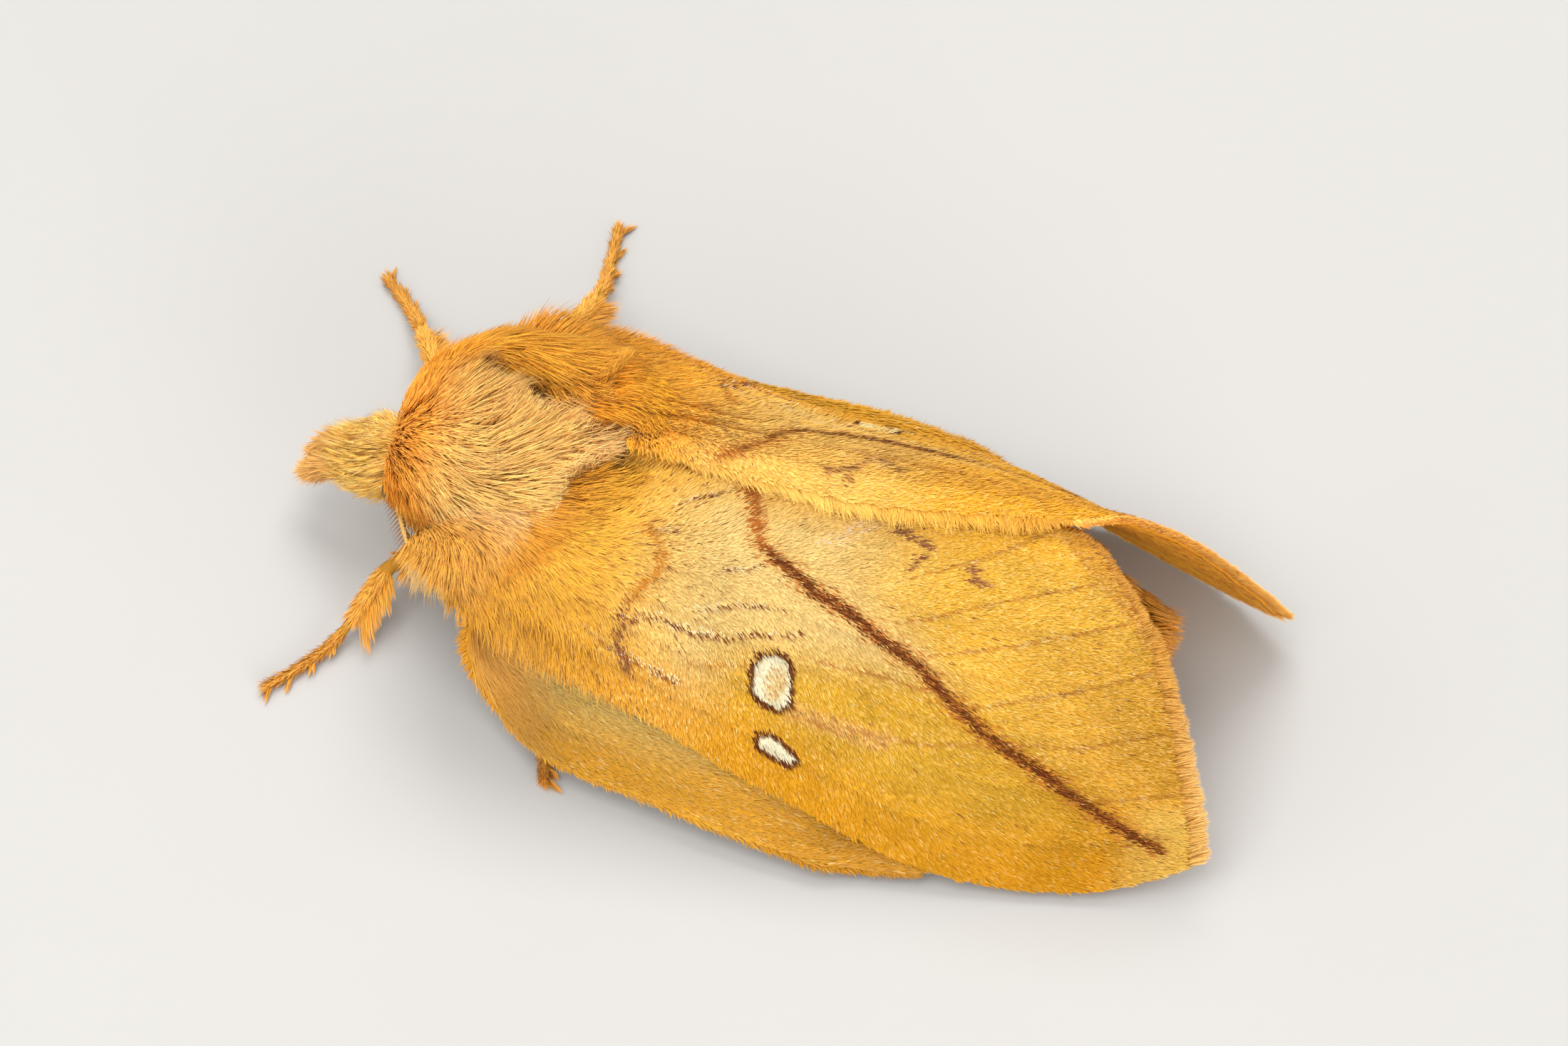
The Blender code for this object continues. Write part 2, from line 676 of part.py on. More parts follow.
def feathered_limb(name, path, radii, count, back, collection):
    # A leg segment with a fringe of flat locks behind and below it.
    limb_core = limb(name, path, radii, collection, steps=2)
    pieces = helper_collection(name + "_locks")
    chance = random.Random(len(name) * 7 + count)
    for index in range(count):
        t = (index + 0.6) / (count + 0.3)
        spot = along(path, t)
        way = (along(path, min(t + 0.1, 1.0)) - along(path, t - 0.1)).normalized()
        out = Vector((back, 0.25 * back, -0.35) if index % 2 else (-0.45 * back, 0.0, -0.35))
        out = (out - way * out.dot(way)).normalized()
        length = FEATHER_LENGTH * chance.uniform(0.9, 1.15)
        tip = spot + way * (0.62 * length) + out * (0.78 * length)
        tip.z = max(tip.z, FEATHER_LOWEST)
        middle = spot + way * (0.2 * length) + out * (0.5 * length)
        middle.z = max(middle.z, FEATHER_LOWEST + 0.1)
        facing = way.cross(out).normalized()
        lock(f"{name}_{index}", (spot, middle, tip), FEATHER_WIDTH, facing, pieces)
    return union(limb_core, pieces)


def furry_palp(name, path, side, collection):
    core = limb(name, path, PALP_RADII, collection, steps=2, flat=1.2)
    pieces = helper_collection(name + "_locks")
    chance = random.Random(SEED + 3)
    way = (Vector(path[-1]) - Vector(path[0])).normalized()
    for index, (t, rise, spread) in enumerate(PALP_LOCKS):
        spot = along(path, t)
        out = Vector((0.0, side * spread, rise)).normalized()
        length = PALP_LOCK_LENGTH * chance.uniform(0.9, 1.1)
        tip = spot + way * length + out * PALP_LOCK_STAND
        middle = spot + way * (0.4 * length) + out * PALP_LOCK_STAND
        lock(f"{name}_{index}", (spot, middle, tip), PALP_LOCK_WIDTH, out, pieces)
    return union(core, pieces)


def comb_antenna(name, path, side, collection):
    # A rod with two rows of short teeth.
    shaft = limb(name, path, (ANTENNA_RADIUS, ANTENNA_RADIUS), collection, sides=6, steps=2)
    pieces = helper_collection(name + "_teeth")
    for index in range(TEETH):
        t = mix(0.16, 0.96, index / (TEETH - 1))
        spot = along(path, t)
        way = (along(path, min(t + 0.05, 1.0)) - along(path, t - 0.05)).normalized()
        away = Vector((0.0, side, 0.0))
        away = (away - way * away.dot(way)).normalized()
        up = way.cross(away) * side
        for row in (-1, 1):
            lean = (away * 0.45 - up * (row * 0.85) + way * 0.3).normalized()
            length = TOOTH_LENGTH * (1.0 - 0.35 * t)
            rings = []
            for place, share in ((0.0, 1.0), (0.55, 0.8)):
                centre = spot + lean * (length * place)
                radius = TOOTH_RADIUS * share
                rings.append(ring(centre, lean, way, radius, radius, 4, offset=0.0))
            loft(f"{name}_{index}_{row}", rings, pieces, None, spot + lean * length)
    return union(shaft, pieces)


def mirrored(path):
    return tuple((x, -y, z) for x, y, z in path)


def lowered(path, drop):
    # Lets the far end of the path sink by drop.
    last = len(path) - 1
    return tuple((x, y, z - drop * (k / last) ** 2) for k, (x, y, z) in enumerate(path))


def eye(name, side, collection):
    shape = bmesh.new()
    bmesh.ops.create_uvsphere(shape, u_segments=14, v_segments=9, radius=EYE_RADIUS * MILLIMETRE)
    mesh = bpy.data.meshes.new(name)
    shape.to_mesh(mesh)
    shape.free()
    made = bpy.data.objects.new(name, mesh)
    x, y, z = EYE_CENTRE
    made.location = Vector((x, side * y, z)) * MILLIMETRE
    collection.objects.link(made)
    return made


def legs(collection, paint):
    for name, (femur, tibia, tarsus) in LEGS.items():
        paint(feathered_limb(name + "_femur", femur, FEMUR_RADII, FEMUR_FEATHERS, 0.6, collection), "leg")
        paint(feathered_limb(name + "_tibia", tibia, TIBIA_RADII, TIBIA_FEATHERS, 1.0, collection), "leg")
        paint(limb(name + "_tarsus", tarsus, TARSUS_RADII, collection, lowest=0.0, steps=2), "leg")


def centre_on_floor(collection):
    # Hangs every part on one empty, and moves it so that the middle of the whole's box is over the origin.
    bpy.context.view_layer.update()
    parts = list(collection.objects)
    corners = [item.matrix_world @ v.co for item in parts for v in item.data.vertices]
    lows = [min(corner[axis] for corner in corners) for axis in range(3)]
    highs = [max(corner[axis] for corner in corners) for axis in range(3)]
    moth = bpy.data.objects.new("moth", None)
    collection.objects.link(moth)
    moth.location = (-(lows[0] + highs[0]) / 2, -(lows[1] + highs[1]) / 2, -lows[2])
    for item in parts:
        item.parent = moth


def build():
    clear_scene()
    moth = new_collection("drinker_moth")

    def paint(item, kind):
        item.data.materials.clear()
        item.data.materials.append(new_material(item.name, COLOURS[kind]))
        return item

    for side, word in ((-1, "left"), (1, "right")):
        paint(forewing("forewing_" + word, side, moth), "forewing")
        paint(hindwing("hindwing_" + word, side, moth), "hindwing")
        paint(eye("eye_" + word, side, moth), "eye")
        palp = PALP_PATH if side > 0 else mirrored(PALP_PATH)
        paint(furry_palp("palp_" + word, palp, side, moth), "palp")
        feeler = ANTENNA_PATH if side < 0 else lowered(mirrored(ANTENNA_PATH), RIGHT_ANTENNA_DROP)
        paint(comb_antenna("antenna_" + word, feeler, side, moth), "antenna")
    paint(furry_thorax(moth), "thorax")
    paint(furry_head(moth), "head")
    paint(furry_abdomen(moth), "abdomen")
    legs(moth, paint)
    centre_on_floor(moth)


build()
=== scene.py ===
import json
import math

import bpy
import numpy as np
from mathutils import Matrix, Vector

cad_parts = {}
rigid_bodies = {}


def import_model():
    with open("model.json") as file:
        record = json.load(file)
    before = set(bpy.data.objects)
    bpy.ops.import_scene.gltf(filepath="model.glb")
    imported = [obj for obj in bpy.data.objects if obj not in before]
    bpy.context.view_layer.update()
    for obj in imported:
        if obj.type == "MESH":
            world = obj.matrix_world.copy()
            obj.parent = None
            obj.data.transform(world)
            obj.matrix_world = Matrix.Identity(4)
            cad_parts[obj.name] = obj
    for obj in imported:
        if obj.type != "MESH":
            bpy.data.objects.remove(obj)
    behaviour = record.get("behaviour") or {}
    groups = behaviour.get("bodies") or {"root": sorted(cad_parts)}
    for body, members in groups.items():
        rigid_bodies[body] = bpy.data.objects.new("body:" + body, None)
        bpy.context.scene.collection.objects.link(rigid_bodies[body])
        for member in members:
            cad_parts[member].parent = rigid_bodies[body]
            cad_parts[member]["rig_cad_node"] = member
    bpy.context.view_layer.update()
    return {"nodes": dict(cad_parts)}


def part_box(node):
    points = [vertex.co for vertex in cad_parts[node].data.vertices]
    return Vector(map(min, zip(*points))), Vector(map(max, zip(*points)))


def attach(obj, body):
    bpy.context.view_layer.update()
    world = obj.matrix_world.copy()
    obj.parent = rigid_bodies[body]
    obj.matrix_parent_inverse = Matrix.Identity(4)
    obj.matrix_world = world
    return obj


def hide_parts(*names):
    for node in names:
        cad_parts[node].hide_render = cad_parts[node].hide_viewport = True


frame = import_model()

eyeLow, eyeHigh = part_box("eye_left")
# all shapes below are in millimetres from here
mothOrigin = np.array((eyeLow + eyeHigh) / 2) - np.array((-0.00585, -0.00175, 0.0053))
bothSides = ((-1, "Left"), (1, "Right"))
mirror = np.array((1.0, -1.0, 1.0))


# small sums on arrays of points

def mix(a, b, t):
    return a + (b - a) * t


def ramp(value, start, end):  # smoothly from 0 at the start to 1 at the end
    t = np.clip((value - start) / (end - start), 0, 1)
    return t * t * (3 - 2 * t)


def bell(value, width):
    return np.exp(-(value / width) ** 2)


def col(t):
    return np.asarray(t, float)[..., None]


def unit(v):
    return v / np.maximum(np.linalg.norm(v, axis=-1, keepdims=True), 1e-9)


def stack(*parts):
    return np.stack(np.broadcast_arrays(*parts), axis=-1).astype(float)


def layers(shade, *coats):  # colours laid over one another, each by its share
    for colour, share in coats:
        shade = mix(shade, np.asarray(colour), col(share))
    return shade


def swapped(shade, chosen, other):
    return np.where(col(chosen), other, shade)


def hashed(cells, seed):
    n = seed * 40503
    for k, factor in enumerate((73856093, 19349663, 83492791)):
        n = n ^ (cells[..., k] * factor)
    n = n & 0xFFFFFFFF
    n = ((n ^ (n >> 13)) * 1274126177) & 0xFFFFFFFF
    n = ((n ^ (n >> 15)) * 668265263) & 0xFFFFFFFF
    return ((n ^ (n >> 16)) & 0xFFFFFF) / 16777216


def noise(points, size, seed):  # smooth lumps of this size, from 0 to 1
    p = np.asarray(points, float)
    if p.shape[-1] == 2:
        p = np.concatenate([p, np.zeros_like(p[..., :1])], axis=-1)
    p = p / size + 1000
    base = np.floor(p).astype(np.int64)
    part = p - base
    part = part * part * (3 - 2 * part)
    total = np.zeros(p.shape[:-1])
    for corner in range(8):
        pick = np.array([(corner >> k) & 1 for k in range(3)])
        total += np.prod(np.where(pick, part, 1 - part), axis=-1) * hashed(base + pick, seed)
    return total


def lumps(points, size, seed):  # the same about nought
    return noise(points, size, seed) - 0.5


def lockCentres(cell, size, seed):  # the middle of each hair's lock, and a number for the lock
    grid = np.floor(cell / size).astype(np.int64)
    best = np.full(len(cell), 1e9)
    middle = cell.copy()
    luck = np.zeros(len(cell))
    for step in np.ndindex(3, 3):
        spot = grid + step - 1
        key = np.concatenate([spot + 1000, np.zeros_like(spot[:, :1])], axis=-1)
        centre = (spot + stack(hashed(key, seed), hashed(key, seed + 1))) * size
        gap = np.linalg.norm(cell - centre, axis=-1)
        near = gap < best
        best = np.where(near, gap, best)
        middle = swapped(middle, near, centre)
        luck = np.where(near, hashed(key, seed + 2), luck)
    return middle, luck


def chain(points):
    points = np.asarray(points, float)
    gaps = np.linalg.norm(np.diff(points, axis=0), axis=1)
    return points, gaps, np.concatenate([[0], np.cumsum(gaps)])


def curveAt(points, t):  # a smooth line through the points, by its length
    points, gaps, reach = chain(points)
    left = np.clip(np.asarray(t, float), 0, 1) * reach[-1]
    index = np.clip(np.searchsorted(reach, left, side="right") - 1, 0, len(gaps) - 1)
    u = col((left - reach[index]) / gaps[index])
    ends = np.vstack([2 * points[0] - points[1], points, 2 * points[-1] - points[-2]])
    before, start, end, after = (ends[index + k] for k in range(4))
    return (start * (2 * u**3 - 3 * u**2 + 1) + (end - before) / 2 * (u**3 - 2 * u**2 + u)
            + end * (3 * u**2 - 2 * u**3) + (after - start) / 2 * (u**3 - u**2))


def lineDistance(points, line):  # distance to a chain of straight pieces, and how far along it
    line, gaps, reach = chain(line)
    best = np.full(points.shape[:-1], 1e9)
    place = np.zeros(points.shape[:-1])
    for k in range(len(gaps)):
        way = line[k + 1] - line[k]
        t = np.clip(((points - line[k]) @ way) / (way @ way), 0, 1)
        gap = np.linalg.norm(points - line[k] - col(t) * way, axis=-1)
        near = gap < best
        best = np.where(near, gap, best)
        place = np.where(near, (reach[k] + t * gaps[k]) / reach[-1], place)
    return best, place


def insideOf(points, outline):  # signed distance: below nought inside the outline
    ring = np.array([*outline, outline[0]])
    inside = np.zeros(points.shape[:-1], bool)
    for (ax, ay), (bx, by) in zip(ring[:-1], ring[1:]):
        cross = (ay > points[..., 1]) != (by > points[..., 1])
        edge = (bx - ax) * (points[..., 1] - ay) / (by - ay if by != ay else 1e-9) + ax
        inside ^= cross & (points[..., 0] < edge)
    return lineDistance(points, ring)[0] * np.where(inside, -1, 1)


def turnedAbout(way, axis, angle):
    c, s = col(np.cos(angle)), col(np.sin(angle))
    return way * c + np.cross(axis, way) * s + axis * col((axis * way).sum(-1)) * (1 - c)


def varied(shade, amount, chance, count=None):  # every tuft a little lighter, darker, redder or yellower
    shade = shade if count is None else np.tile(shade, (count, 1))
    light, warm = (1 + share * (2 * chance.random((len(shade), 1)) - 1) for share in (amount, 0.45 * amount))
    return shade * light * np.concatenate([np.ones_like(warm), warm, warm ** 2], axis=-1)


def spreadOut(count, chance):  # evenly along an edge, with a little chance
    return (np.arange(count) + chance.random(count)) / count


# meshes

def paintPoints(mesh, shade):
    held = mesh.attributes.new("shade", "FLOAT_VECTOR", "POINT")
    held.data.foreach_set("vector", np.clip(shade, 0, 1).astype(np.float32).ravel())


def solidMesh(name, finish, points, triangles, smooth=True, shade=None, strand=None, bake=None):
    mesh = bpy.data.meshes.new(name)
    points = points.reshape(-1, 3) * 0.001 + mothOrigin
    mesh.vertices.add(len(points))
    mesh.vertices.foreach_set("co", points.astype(np.float32).ravel())
    mesh.loops.add(triangles.size)
    mesh.loops.foreach_set("vertex_index", triangles.astype(np.int32).ravel())
    mesh.polygons.add(len(triangles))
    mesh.polygons.foreach_set("loop_start", np.arange(0, triangles.size, 3, dtype=np.int32))
    mesh.update(calc_edges=True)
    mesh.polygons.foreach_set("use_smooth", np.full(len(triangles), smooth))
    if shade is not None:
        paintPoints(mesh, shade)
    if strand is not None:
        held = mesh.attributes.new("strand", "FLOAT", "POINT")
        held.data.foreach_set("value", strand.astype(np.float32).ravel())
        layer = mesh.uv_layers.new(name="OFBake")
        layer.data.foreach_set("uv", bake.reshape(-1, 2)[triangles.ravel()].astype(np.float32).ravel())
    mesh.materials.append(finish)
    made = bpy.data.objects.new(name, mesh)
    bpy.context.scene.collection.objects.link(made)
    return made


def gridFaces(rows, columns, turned=False, closed=False):
    a = np.arange(rows * columns).reshape(rows, columns)
    right = np.roll(a, -1, axis=1) if closed else a
    first, second = (a[:-1], right[:-1]) if closed else (a[:-1, :-1], a[:-1, 1:])
    third, fourth = (right[1:], a[1:]) if closed else (a[1:, 1:], a[1:, :-1])
    quads = np.stack([first, second, third, fourth], axis=-1).reshape(-1, 4)
    faces = np.concatenate([quads[:, [0, 1, 2]], quads[:, [0, 2, 3]]])
    return faces[:, ::-1] if turned else faces


def sampleGrid(grid, u, v):
    rows, columns = grid.shape[:2]
    a = np.clip(u, 0, 1) * (rows - 1)
    b = np.clip(v, 0, 1) * (columns - 1)
    i = np.minimum(a.astype(int), rows - 2)
    j = np.minimum(b.astype(int), columns - 2)
    p, q = col(a - i), col(b - j)
    return (grid[i, j] * (1 - p) * (1 - q) + grid[i + 1, j] * p * (1 - q)
            + grid[i, j + 1] * (1 - p) * q + grid[i + 1, j + 1] * p * q)


def gridNormals(grid, side):
    return unit(np.cross(np.gradient(grid, axis=0), np.gradient(grid, axis=1))) * side


class Patch:  # a curved sheet held as a grid: u runs along its first axis, v along its second
    def __init__(self, grid, side, flat=None):
        self.grid = grid
        self.side = side
        self.flat = flat  # the same grid laid out in the plane where the markings are drawn
        self.normal = gridNormals(grid, side)
        self.along = unit(np.gradient(grid, axis=0))

    def at(self, u, v):
        normal = unit(sampleGrid(self.normal, u, v))
        along = unit(sampleGrid(self.along, u, v))
        return sampleGrid(self.grid, u, v), normal, unit(along - normal * col((along * normal).sum(-1)))

    def scatter(self, count, chance, density=None, uRange=(0, 1), vRange=(0, 1)):
        us = mix(*uRange, (np.arange(180) + 0.5) / 180)
        vs = mix(*vRange, (np.arange(120) + 0.5) / 120)
        u, v = np.meshgrid(us, vs, indexing="ij")
        cells = sampleGrid(self.grid, u, v)
        area = np.linalg.norm(np.cross(np.gradient(cells, axis=0), np.gradient(cells, axis=1)), axis=-1)
        reach = np.cumsum((area * (density(v, cells) if density else 1)).ravel())
        picks = np.searchsorted(reach, spreadOut(count, chance) * reach[-1])
        picks = np.clip(picks, 0, reach.size - 1)
        u = u.ravel()[picks] + (chance.random(count) - 0.5) * (uRange[1] - uRange[0]) / 180
        v = v.ravel()[picks] + (chance.random(count) - 0.5) * (vRange[1] - vRange[0]) / 120
        u, v = np.clip(u, *uRange), np.clip(v, *vRange)
        return u, v, *self.at(u, v)


def scaleTufts(finish, name, root, normal, way, length, width, rise, shade, place, thick=0.035,
               tipShade=None):
    # flat scales or short hairs, four triangles each
    count = len(root)
    middle = root + way * col(length * 0.45) + normal * col(rise * 0.45 - thick)
    tip = root + way * col(length) + normal * col(rise)
    half = unit(np.cross(normal, way)) * col(width / 2)
    points = np.stack([root - normal * 0.03, tip, middle - half, middle + half], axis=1)
    faces = np.array([(0, 1, 3), (0, 2, 1), (0, 3, 2), (2, 3, 1)])
    triangles = (np.arange(count)[:, None, None] * 4 + faces).reshape(-1, 3)
    shades = np.repeat(shade[:, None], 4, axis=1)
    if tipShade is not None:
        shades[:, 1] = tipShade
    strand = np.tile([0, 1, 0.45, 0.45], (count, 1))
    bake = place[:, None] + np.array([(0, 0), (0, 1), (-0.5, 0.45), (0.5, 0.45)]) * patchSize
    return solidMesh(name, finish, points, triangles, False, shades, strand, bake)


def needleTufts(finish, name, root, tip, facing, width, shade, place, tipShade=None):  # straight short hairs
    way = tip - root
    length = np.linalg.norm(way, axis=-1)
    return scaleTufts(finish, name, root, facing, unit(way), length, width, 0, shade, place, 0.02, tipShade)


def hairTufts(finish, name, root, middle, tip, facing, width, shade, place, rings=2, tipShade=None):
    # hairs along a bent line from root over middle to tip: three-sided, with a pointed end
    count = len(root)
    ts = np.linspace(0, 1, rings + 1)[:, None, None]
    line = root * (1 - ts)**2 + middle * (2 * ts * (1 - ts)) + tip * ts**2
    way = unit(np.gradient(line, axis=0))
    across = unit(np.cross(facing, way))
    taper = np.array([0.75, 1, 0.72, 0.4] if rings > 2 else [0.8, 1])[:, None, None] * (col(width) / 2)
    half = across[:-1] * taper
    lift = np.cross(way, across)[:-1] * taper
    body = np.stack([line[:-1] - half, line[:-1] + half, line[:-1] + lift], axis=2)
    points = np.concatenate([body.transpose(1, 0, 2, 3).reshape(count, rings * 3, 3), line[-1][:, None]],
                            axis=1)
    faces = []
    for k in range(0, 3 * rings - 3, 3):
        for a, b in ((k, k + 1), (k + 1, k + 2), (k + 2, k)):
            faces += [(a, b, b + 3), (a, b + 3, a + 3)]
    last = 3 * rings - 3
    faces += [(last, last + 1, last + 3), (last + 1, last + 2, last + 3), (last + 2, last, last + 3),
              (0, 2, 1)]
    triangles = (np.arange(count)[:, None, None] * (last + 4) + np.array(faces)).reshape(-1, 3)
    strand = np.concatenate([np.repeat(ts[:-1, 0, 0], 3), [1]])
    ends = shade if tipShade is None else tipShade
    shades = shade[:, None] + (ends - shade)[:, None] * strand[None, :, None]
    sideways = np.concatenate([np.tile([-0.5, 0.5, 0], rings), [0]])
    bake = place[:, None] + np.stack([sideways, strand], axis=-1) * patchSize
    return solidMesh(name, finish, points, triangles, True, shades, np.tile(strand, (count, 1)), bake)


patchSize = 0.003  # each tuft's patch on the bake map


def placeOn(u, v):
    return stack(0.02 + 0.96 * u, 0.02 + 0.96 * v)


def closedSheet(name, patch, thickness, shade, underShade):
    rows, columns = shade.shape[:2]
    top = patch.grid[:rows]
    points = np.concatenate([top, top - patch.normal[:rows] * thickness])
    more = rows * columns
    faces = gridFaces(rows, columns, patch.side < 0)
    index = np.arange(more).reshape(rows, columns)
    rim = np.concatenate([index[:-1, 0], index[-1, :-1], index[:0:-1, -1], index[0, :0:-1]])
    after = np.roll(rim, -1)
    walls = np.concatenate([np.stack([rim, after, after + more], -1),
                            np.stack([rim, after + more, rim + more], -1)])
    walls = walls if patch.side < 0 else walls[:, ::-1]
    faces = np.concatenate([faces, faces[:, ::-1] + more, walls])
    return solidMesh(name, membraneFinish, points, faces, True, np.concatenate([shade, underShade]))


# materials

class Wire:  # an output socket that ordinary sums can be written with
    def __init__(self, tree, socket=None):
        self.tree = tree
        self.socket = socket

    def add(self, kind, settings=None, values=None, give=0):
        node = self.tree.nodes.new(kind)
        for key, value in (settings or {}).items():
            if key == "stops":
                for element, (place, colour) in zip(node.color_ramp.elements, value):
                    element.position = place
                    element.color = (*colour, 1)
            else:
                setattr(node, key, value)
        for key, value in (values or {}).items():
            if isinstance(value, Wire):
                self.tree.links.new(value.socket, node.inputs[key])
            else:
                node.inputs[key].default_value = value
        return Wire(self.tree, node.outputs[give])

    def noise(self, scale, detail):
        return self.add("ShaderNodeTexNoise", values={"Vector": self, "Scale": scale, "Detail": detail})

    def sum(self, operation, a, b):
        return self.add("ShaderNodeMath", {"operation": operation}, {0: a, 1: b})

    def __add__(self, other):
        return self.sum("ADD", self, other)

    def __mul__(self, other):
        return self.sum("MULTIPLY", self, other)

    def __pow__(self, power):
        return self.sum("POWER", self, power)

    __radd__ = __add__
    __rmul__ = __mul__

    def scaled(self, factor):  # a colour or vector times a number
        return self.add("ShaderNodeVectorMath", {"operation": "SCALE"}, {0: self, "Scale": factor})

    def over(self, other, factor):  # this colour, with the other one on top
        return self.add("ShaderNodeMix", {"data_type": "RGBA"}, {"Factor": factor, 6: self, 7: other}, 2)


def newFinish(name, fixed):  # a material, the wire for its own places, and a way to feed its shader
    made = bpy.data.materials.new(name)
    made.use_nodes = True
    shader = made.node_tree.nodes["Principled BSDF"]
    for key, value in fixed.items():
        shader.inputs[key].default_value = value

    def feed(colour, rough, height=None, strength=0.0, depth=0.0):
        wires = {"Base Color": colour, "Roughness": rough}
        if height:
            values = {"Height": height, "Strength": strength, "Distance": depth}
            wires["Normal"] = wire.add("ShaderNodeBump", values=values)
        for key, value in wires.items():
            if isinstance(value, Wire):
                made.node_tree.links.new(value.socket, shader.inputs[key])

    wire = Wire(made.node_tree)
    return made, wire.add("ShaderNodeTexCoord", give=3), feed


def coatFinish(name, fixed, rootTintAndShade, mottle, size, tipPale=0.0):
    made, where, feed = newFinish(name, fixed)
    shade = where.add("ShaderNodeAttribute", {"attribute_name": "shade"}, give=1)
    strand = where.add("ShaderNodeAttribute", {"attribute_name": "strand"}, give=2)
    fine = where.noise(9000.0, 2.0)
    # hairs darker towards the root: partly their own colour, partly painted shade for the gaps between hairs
    light = (rootTintAndShade + (1 - rootTintAndShade) * strand) * (1 - mottle + 2 * mottle * where.noise(1000 / size, 3.0))
    tinted = shade.scaled(light)
    if tipPale:
        tinted = tinted.over((0.9, 0.72, 0.45, 1.0), tipPale * strand ** 3)
    feed(tinted, 0.5 + 0.24 * fine, fine, 0.25, 0.00002)
    return made


def skinFinish(name, fixed, dark):
    made, where, feed = newFinish(name, fixed)
    shade = where.add("ShaderNodeAttribute", {"attribute_name": "shade"}, give=1)
    fine = where.noise(1000 / 0.12, 3.0)
    light = dark * (0.82 + 0.36 * where.noise(3000.0, 4.0))
    feed(shade.scaled(light), 0.55 + 0.25 * fine, fine, 0.5, 0.00005)
    return made


def sheen(weight, tint):
    return {"Sheen Weight": weight, "Sheen Roughness": 0.4, "Sheen Tint": (*tint, 1.0),
            "Specular IOR Level": 0.08}


fluffy = sheen(0.07, (1.0, 0.68, 0.28))
silky = sheen(0.04, (1.0, 0.7, 0.3))
scaleFinish = coatFinish("wingScales", silky, 0.84, 0.08, 0.5)
furFinish = coatFinish("longFur", fluffy, 0.74, 0.08, 0.6, 0.1)
shortFinish = coatFinish("shortFur", fluffy, 0.82, 0.08, 0.4, 0.05)
fringeFinish = coatFinish("fringeHair", fluffy, 0.92, 0.08, 0.4)
membraneFinish = skinFinish("wingMembrane", silky, 0.85)
bodyFinish = skinFinish("bodySkin", fluffy, 0.6)


# the roof of the folded wings, as the solids have it

roof = {"length": 30, "ridge": 10.9, "rise": 4.5, "crest": (10, 71), "edge": (50, 63.5), "width": 13,
        "power": 1.34, "tuck": 1.05, "steeper": 9}


def roofBack(x):
    return np.clip(x / roof["length"], 0, 1.1)


def roofSlope(x, down, side):
    crest = mix(*roof["crest"], roofBack(x))
    edge = mix(*roof["edge"], roofBack(x))
    if side > 0:
        extra = roof["steeper"] * (1 - 0.85 * ramp(x, 5, 19))
        crest = crest + extra * 1.3
        edge = edge + extra
    part = np.clip(down / roof["width"], 0, 1.3) ** roof["power"]
    return np.radians(mix(crest, edge, part) * np.minimum(1, 0.25 + 0.5 * down))


def roofPoint(x, down, side, setIn):
    x, down, setIn = np.broadcast_arrays(np.asarray(x, float), down, setIn)
    under = np.maximum(down, 0)
    ridge = roof["ridge"] + roof["rise"] * roofBack(x)
    out = np.zeros_like(x)
    height = ridge.copy()
    for step in range(16):
        slope = roofSlope(x, under * (step + 0.5) / 16, side)
        out += np.cos(slope) * under / 16
        height -= np.sin(slope) * under / 16
    slope = roofSlope(x, under, side)
    flat = np.radians(0.3 * mix(*roof["crest"], roofBack(x)))
    y = np.where(down < 0, down * np.cos(flat), out - setIn * np.sin(slope)) * side
    z = np.where(down < 0, ridge + down * np.sin(flat) - setIn, height - setIn * np.cos(slope))
    return stack(x, y, z)


def tucked(points, down, side):  # the left wing runs on under the right one along the ridge
    return points - col(roof["tuck"] * ramp(down, 4.9, 0.9) * (side < 0)) * (0, 0, 1)


def veinRidge(down, veins, width):
    return np.max([bell(down - vein, width) for vein in veins], axis=0)


# forewings

foreWing = {
    "costa": ((-2.2, 7.1), (0, 8.2), (3, 9.35), (5.7, 10.4), (8.1, 11.3), (10.7, 12.4), (13.3, 13.4),
              (16.7, 15), (19, 15.85), (22.1, 16.35), (25.5, 16.2), (27.6, 15.5), (29.65, 14.4)),
    "termen": ((23.4, 0.7), (24.5, 2), (25.5, 3.5), (26.35, 4.85), (27, 6.4), (27.7, 8.1), (28.1, 9.2),
               (28.6, 10.7), (29.1, 12.2), (29.65, 14.4)),
    "root": ((2.5, 3), (0.35, 5.3), (-2.2, 7.1)),
    "inner": {-1: ((3.4, 0.6), (5.5, 0), (8, -0.25), (14, -0.3), (19, -0.3), (21.7, -0.2)),
              1: ((3.4, -0.25), (7, -0.6), (11, -0.95), (14.5, -0.95), (19, -0.35), (22.3, 0.05))},
    "veins": (0.09, 0.21, 0.34, 0.47, 0.6, 0.73, 0.87),
    "setIn": 0.1, "thickness": 0.3, "veinHeight": 0.09, "rows": 150, "columns": 100,
    "scales": {-1: 66000, 1: 31700}, "scaleLength": 0.4, "scaleWidth": 0.1, "most": 45000, "scalesEnd": 0.965,
    "baseHairs": {-1: 11000, 1: 5500}, "underScales": 3500, "markTries": {-1: 150000, 1: 60000},
    # the far wing and its shoulder are tinted warmer and more orange than the near ones: painted light against
    # the dimmer light they lie in
    "farPaintedLift": (1.1, 0.96, 0.62),
    # how far the coat leans towards the ridge, in degrees: a row for each place behind the root
    "flowBack": (3, 6, 11, 15, 20), "flowDown": (0.5, 2.5, 4.5, 6.5, 8.5, 10.5),
    "flow": ((50, 38, 6, -20, -46, -48), (42, 34, 0, -22, -42, -42), (20, 16, -6, -24, -36, -34),
             (12, 14, 8, -8, -20, -26), (4, 4, 4, 0, -4, -10)),
}


def wingFlow(plan, side):
    rows = np.stack([np.interp(plan[:, 1], foreWing["flowDown"], row) for row in foreWing["flow"]], axis=1)
    at = np.interp(plan[:, 0], foreWing["flowBack"], np.arange(rows.shape[1]))
    low = np.minimum(at.astype(int), rows.shape[1] - 2)
    each = np.arange(len(plan))
    return -side * np.radians(mix(rows[each, low], rows[each, low + 1], at - low))


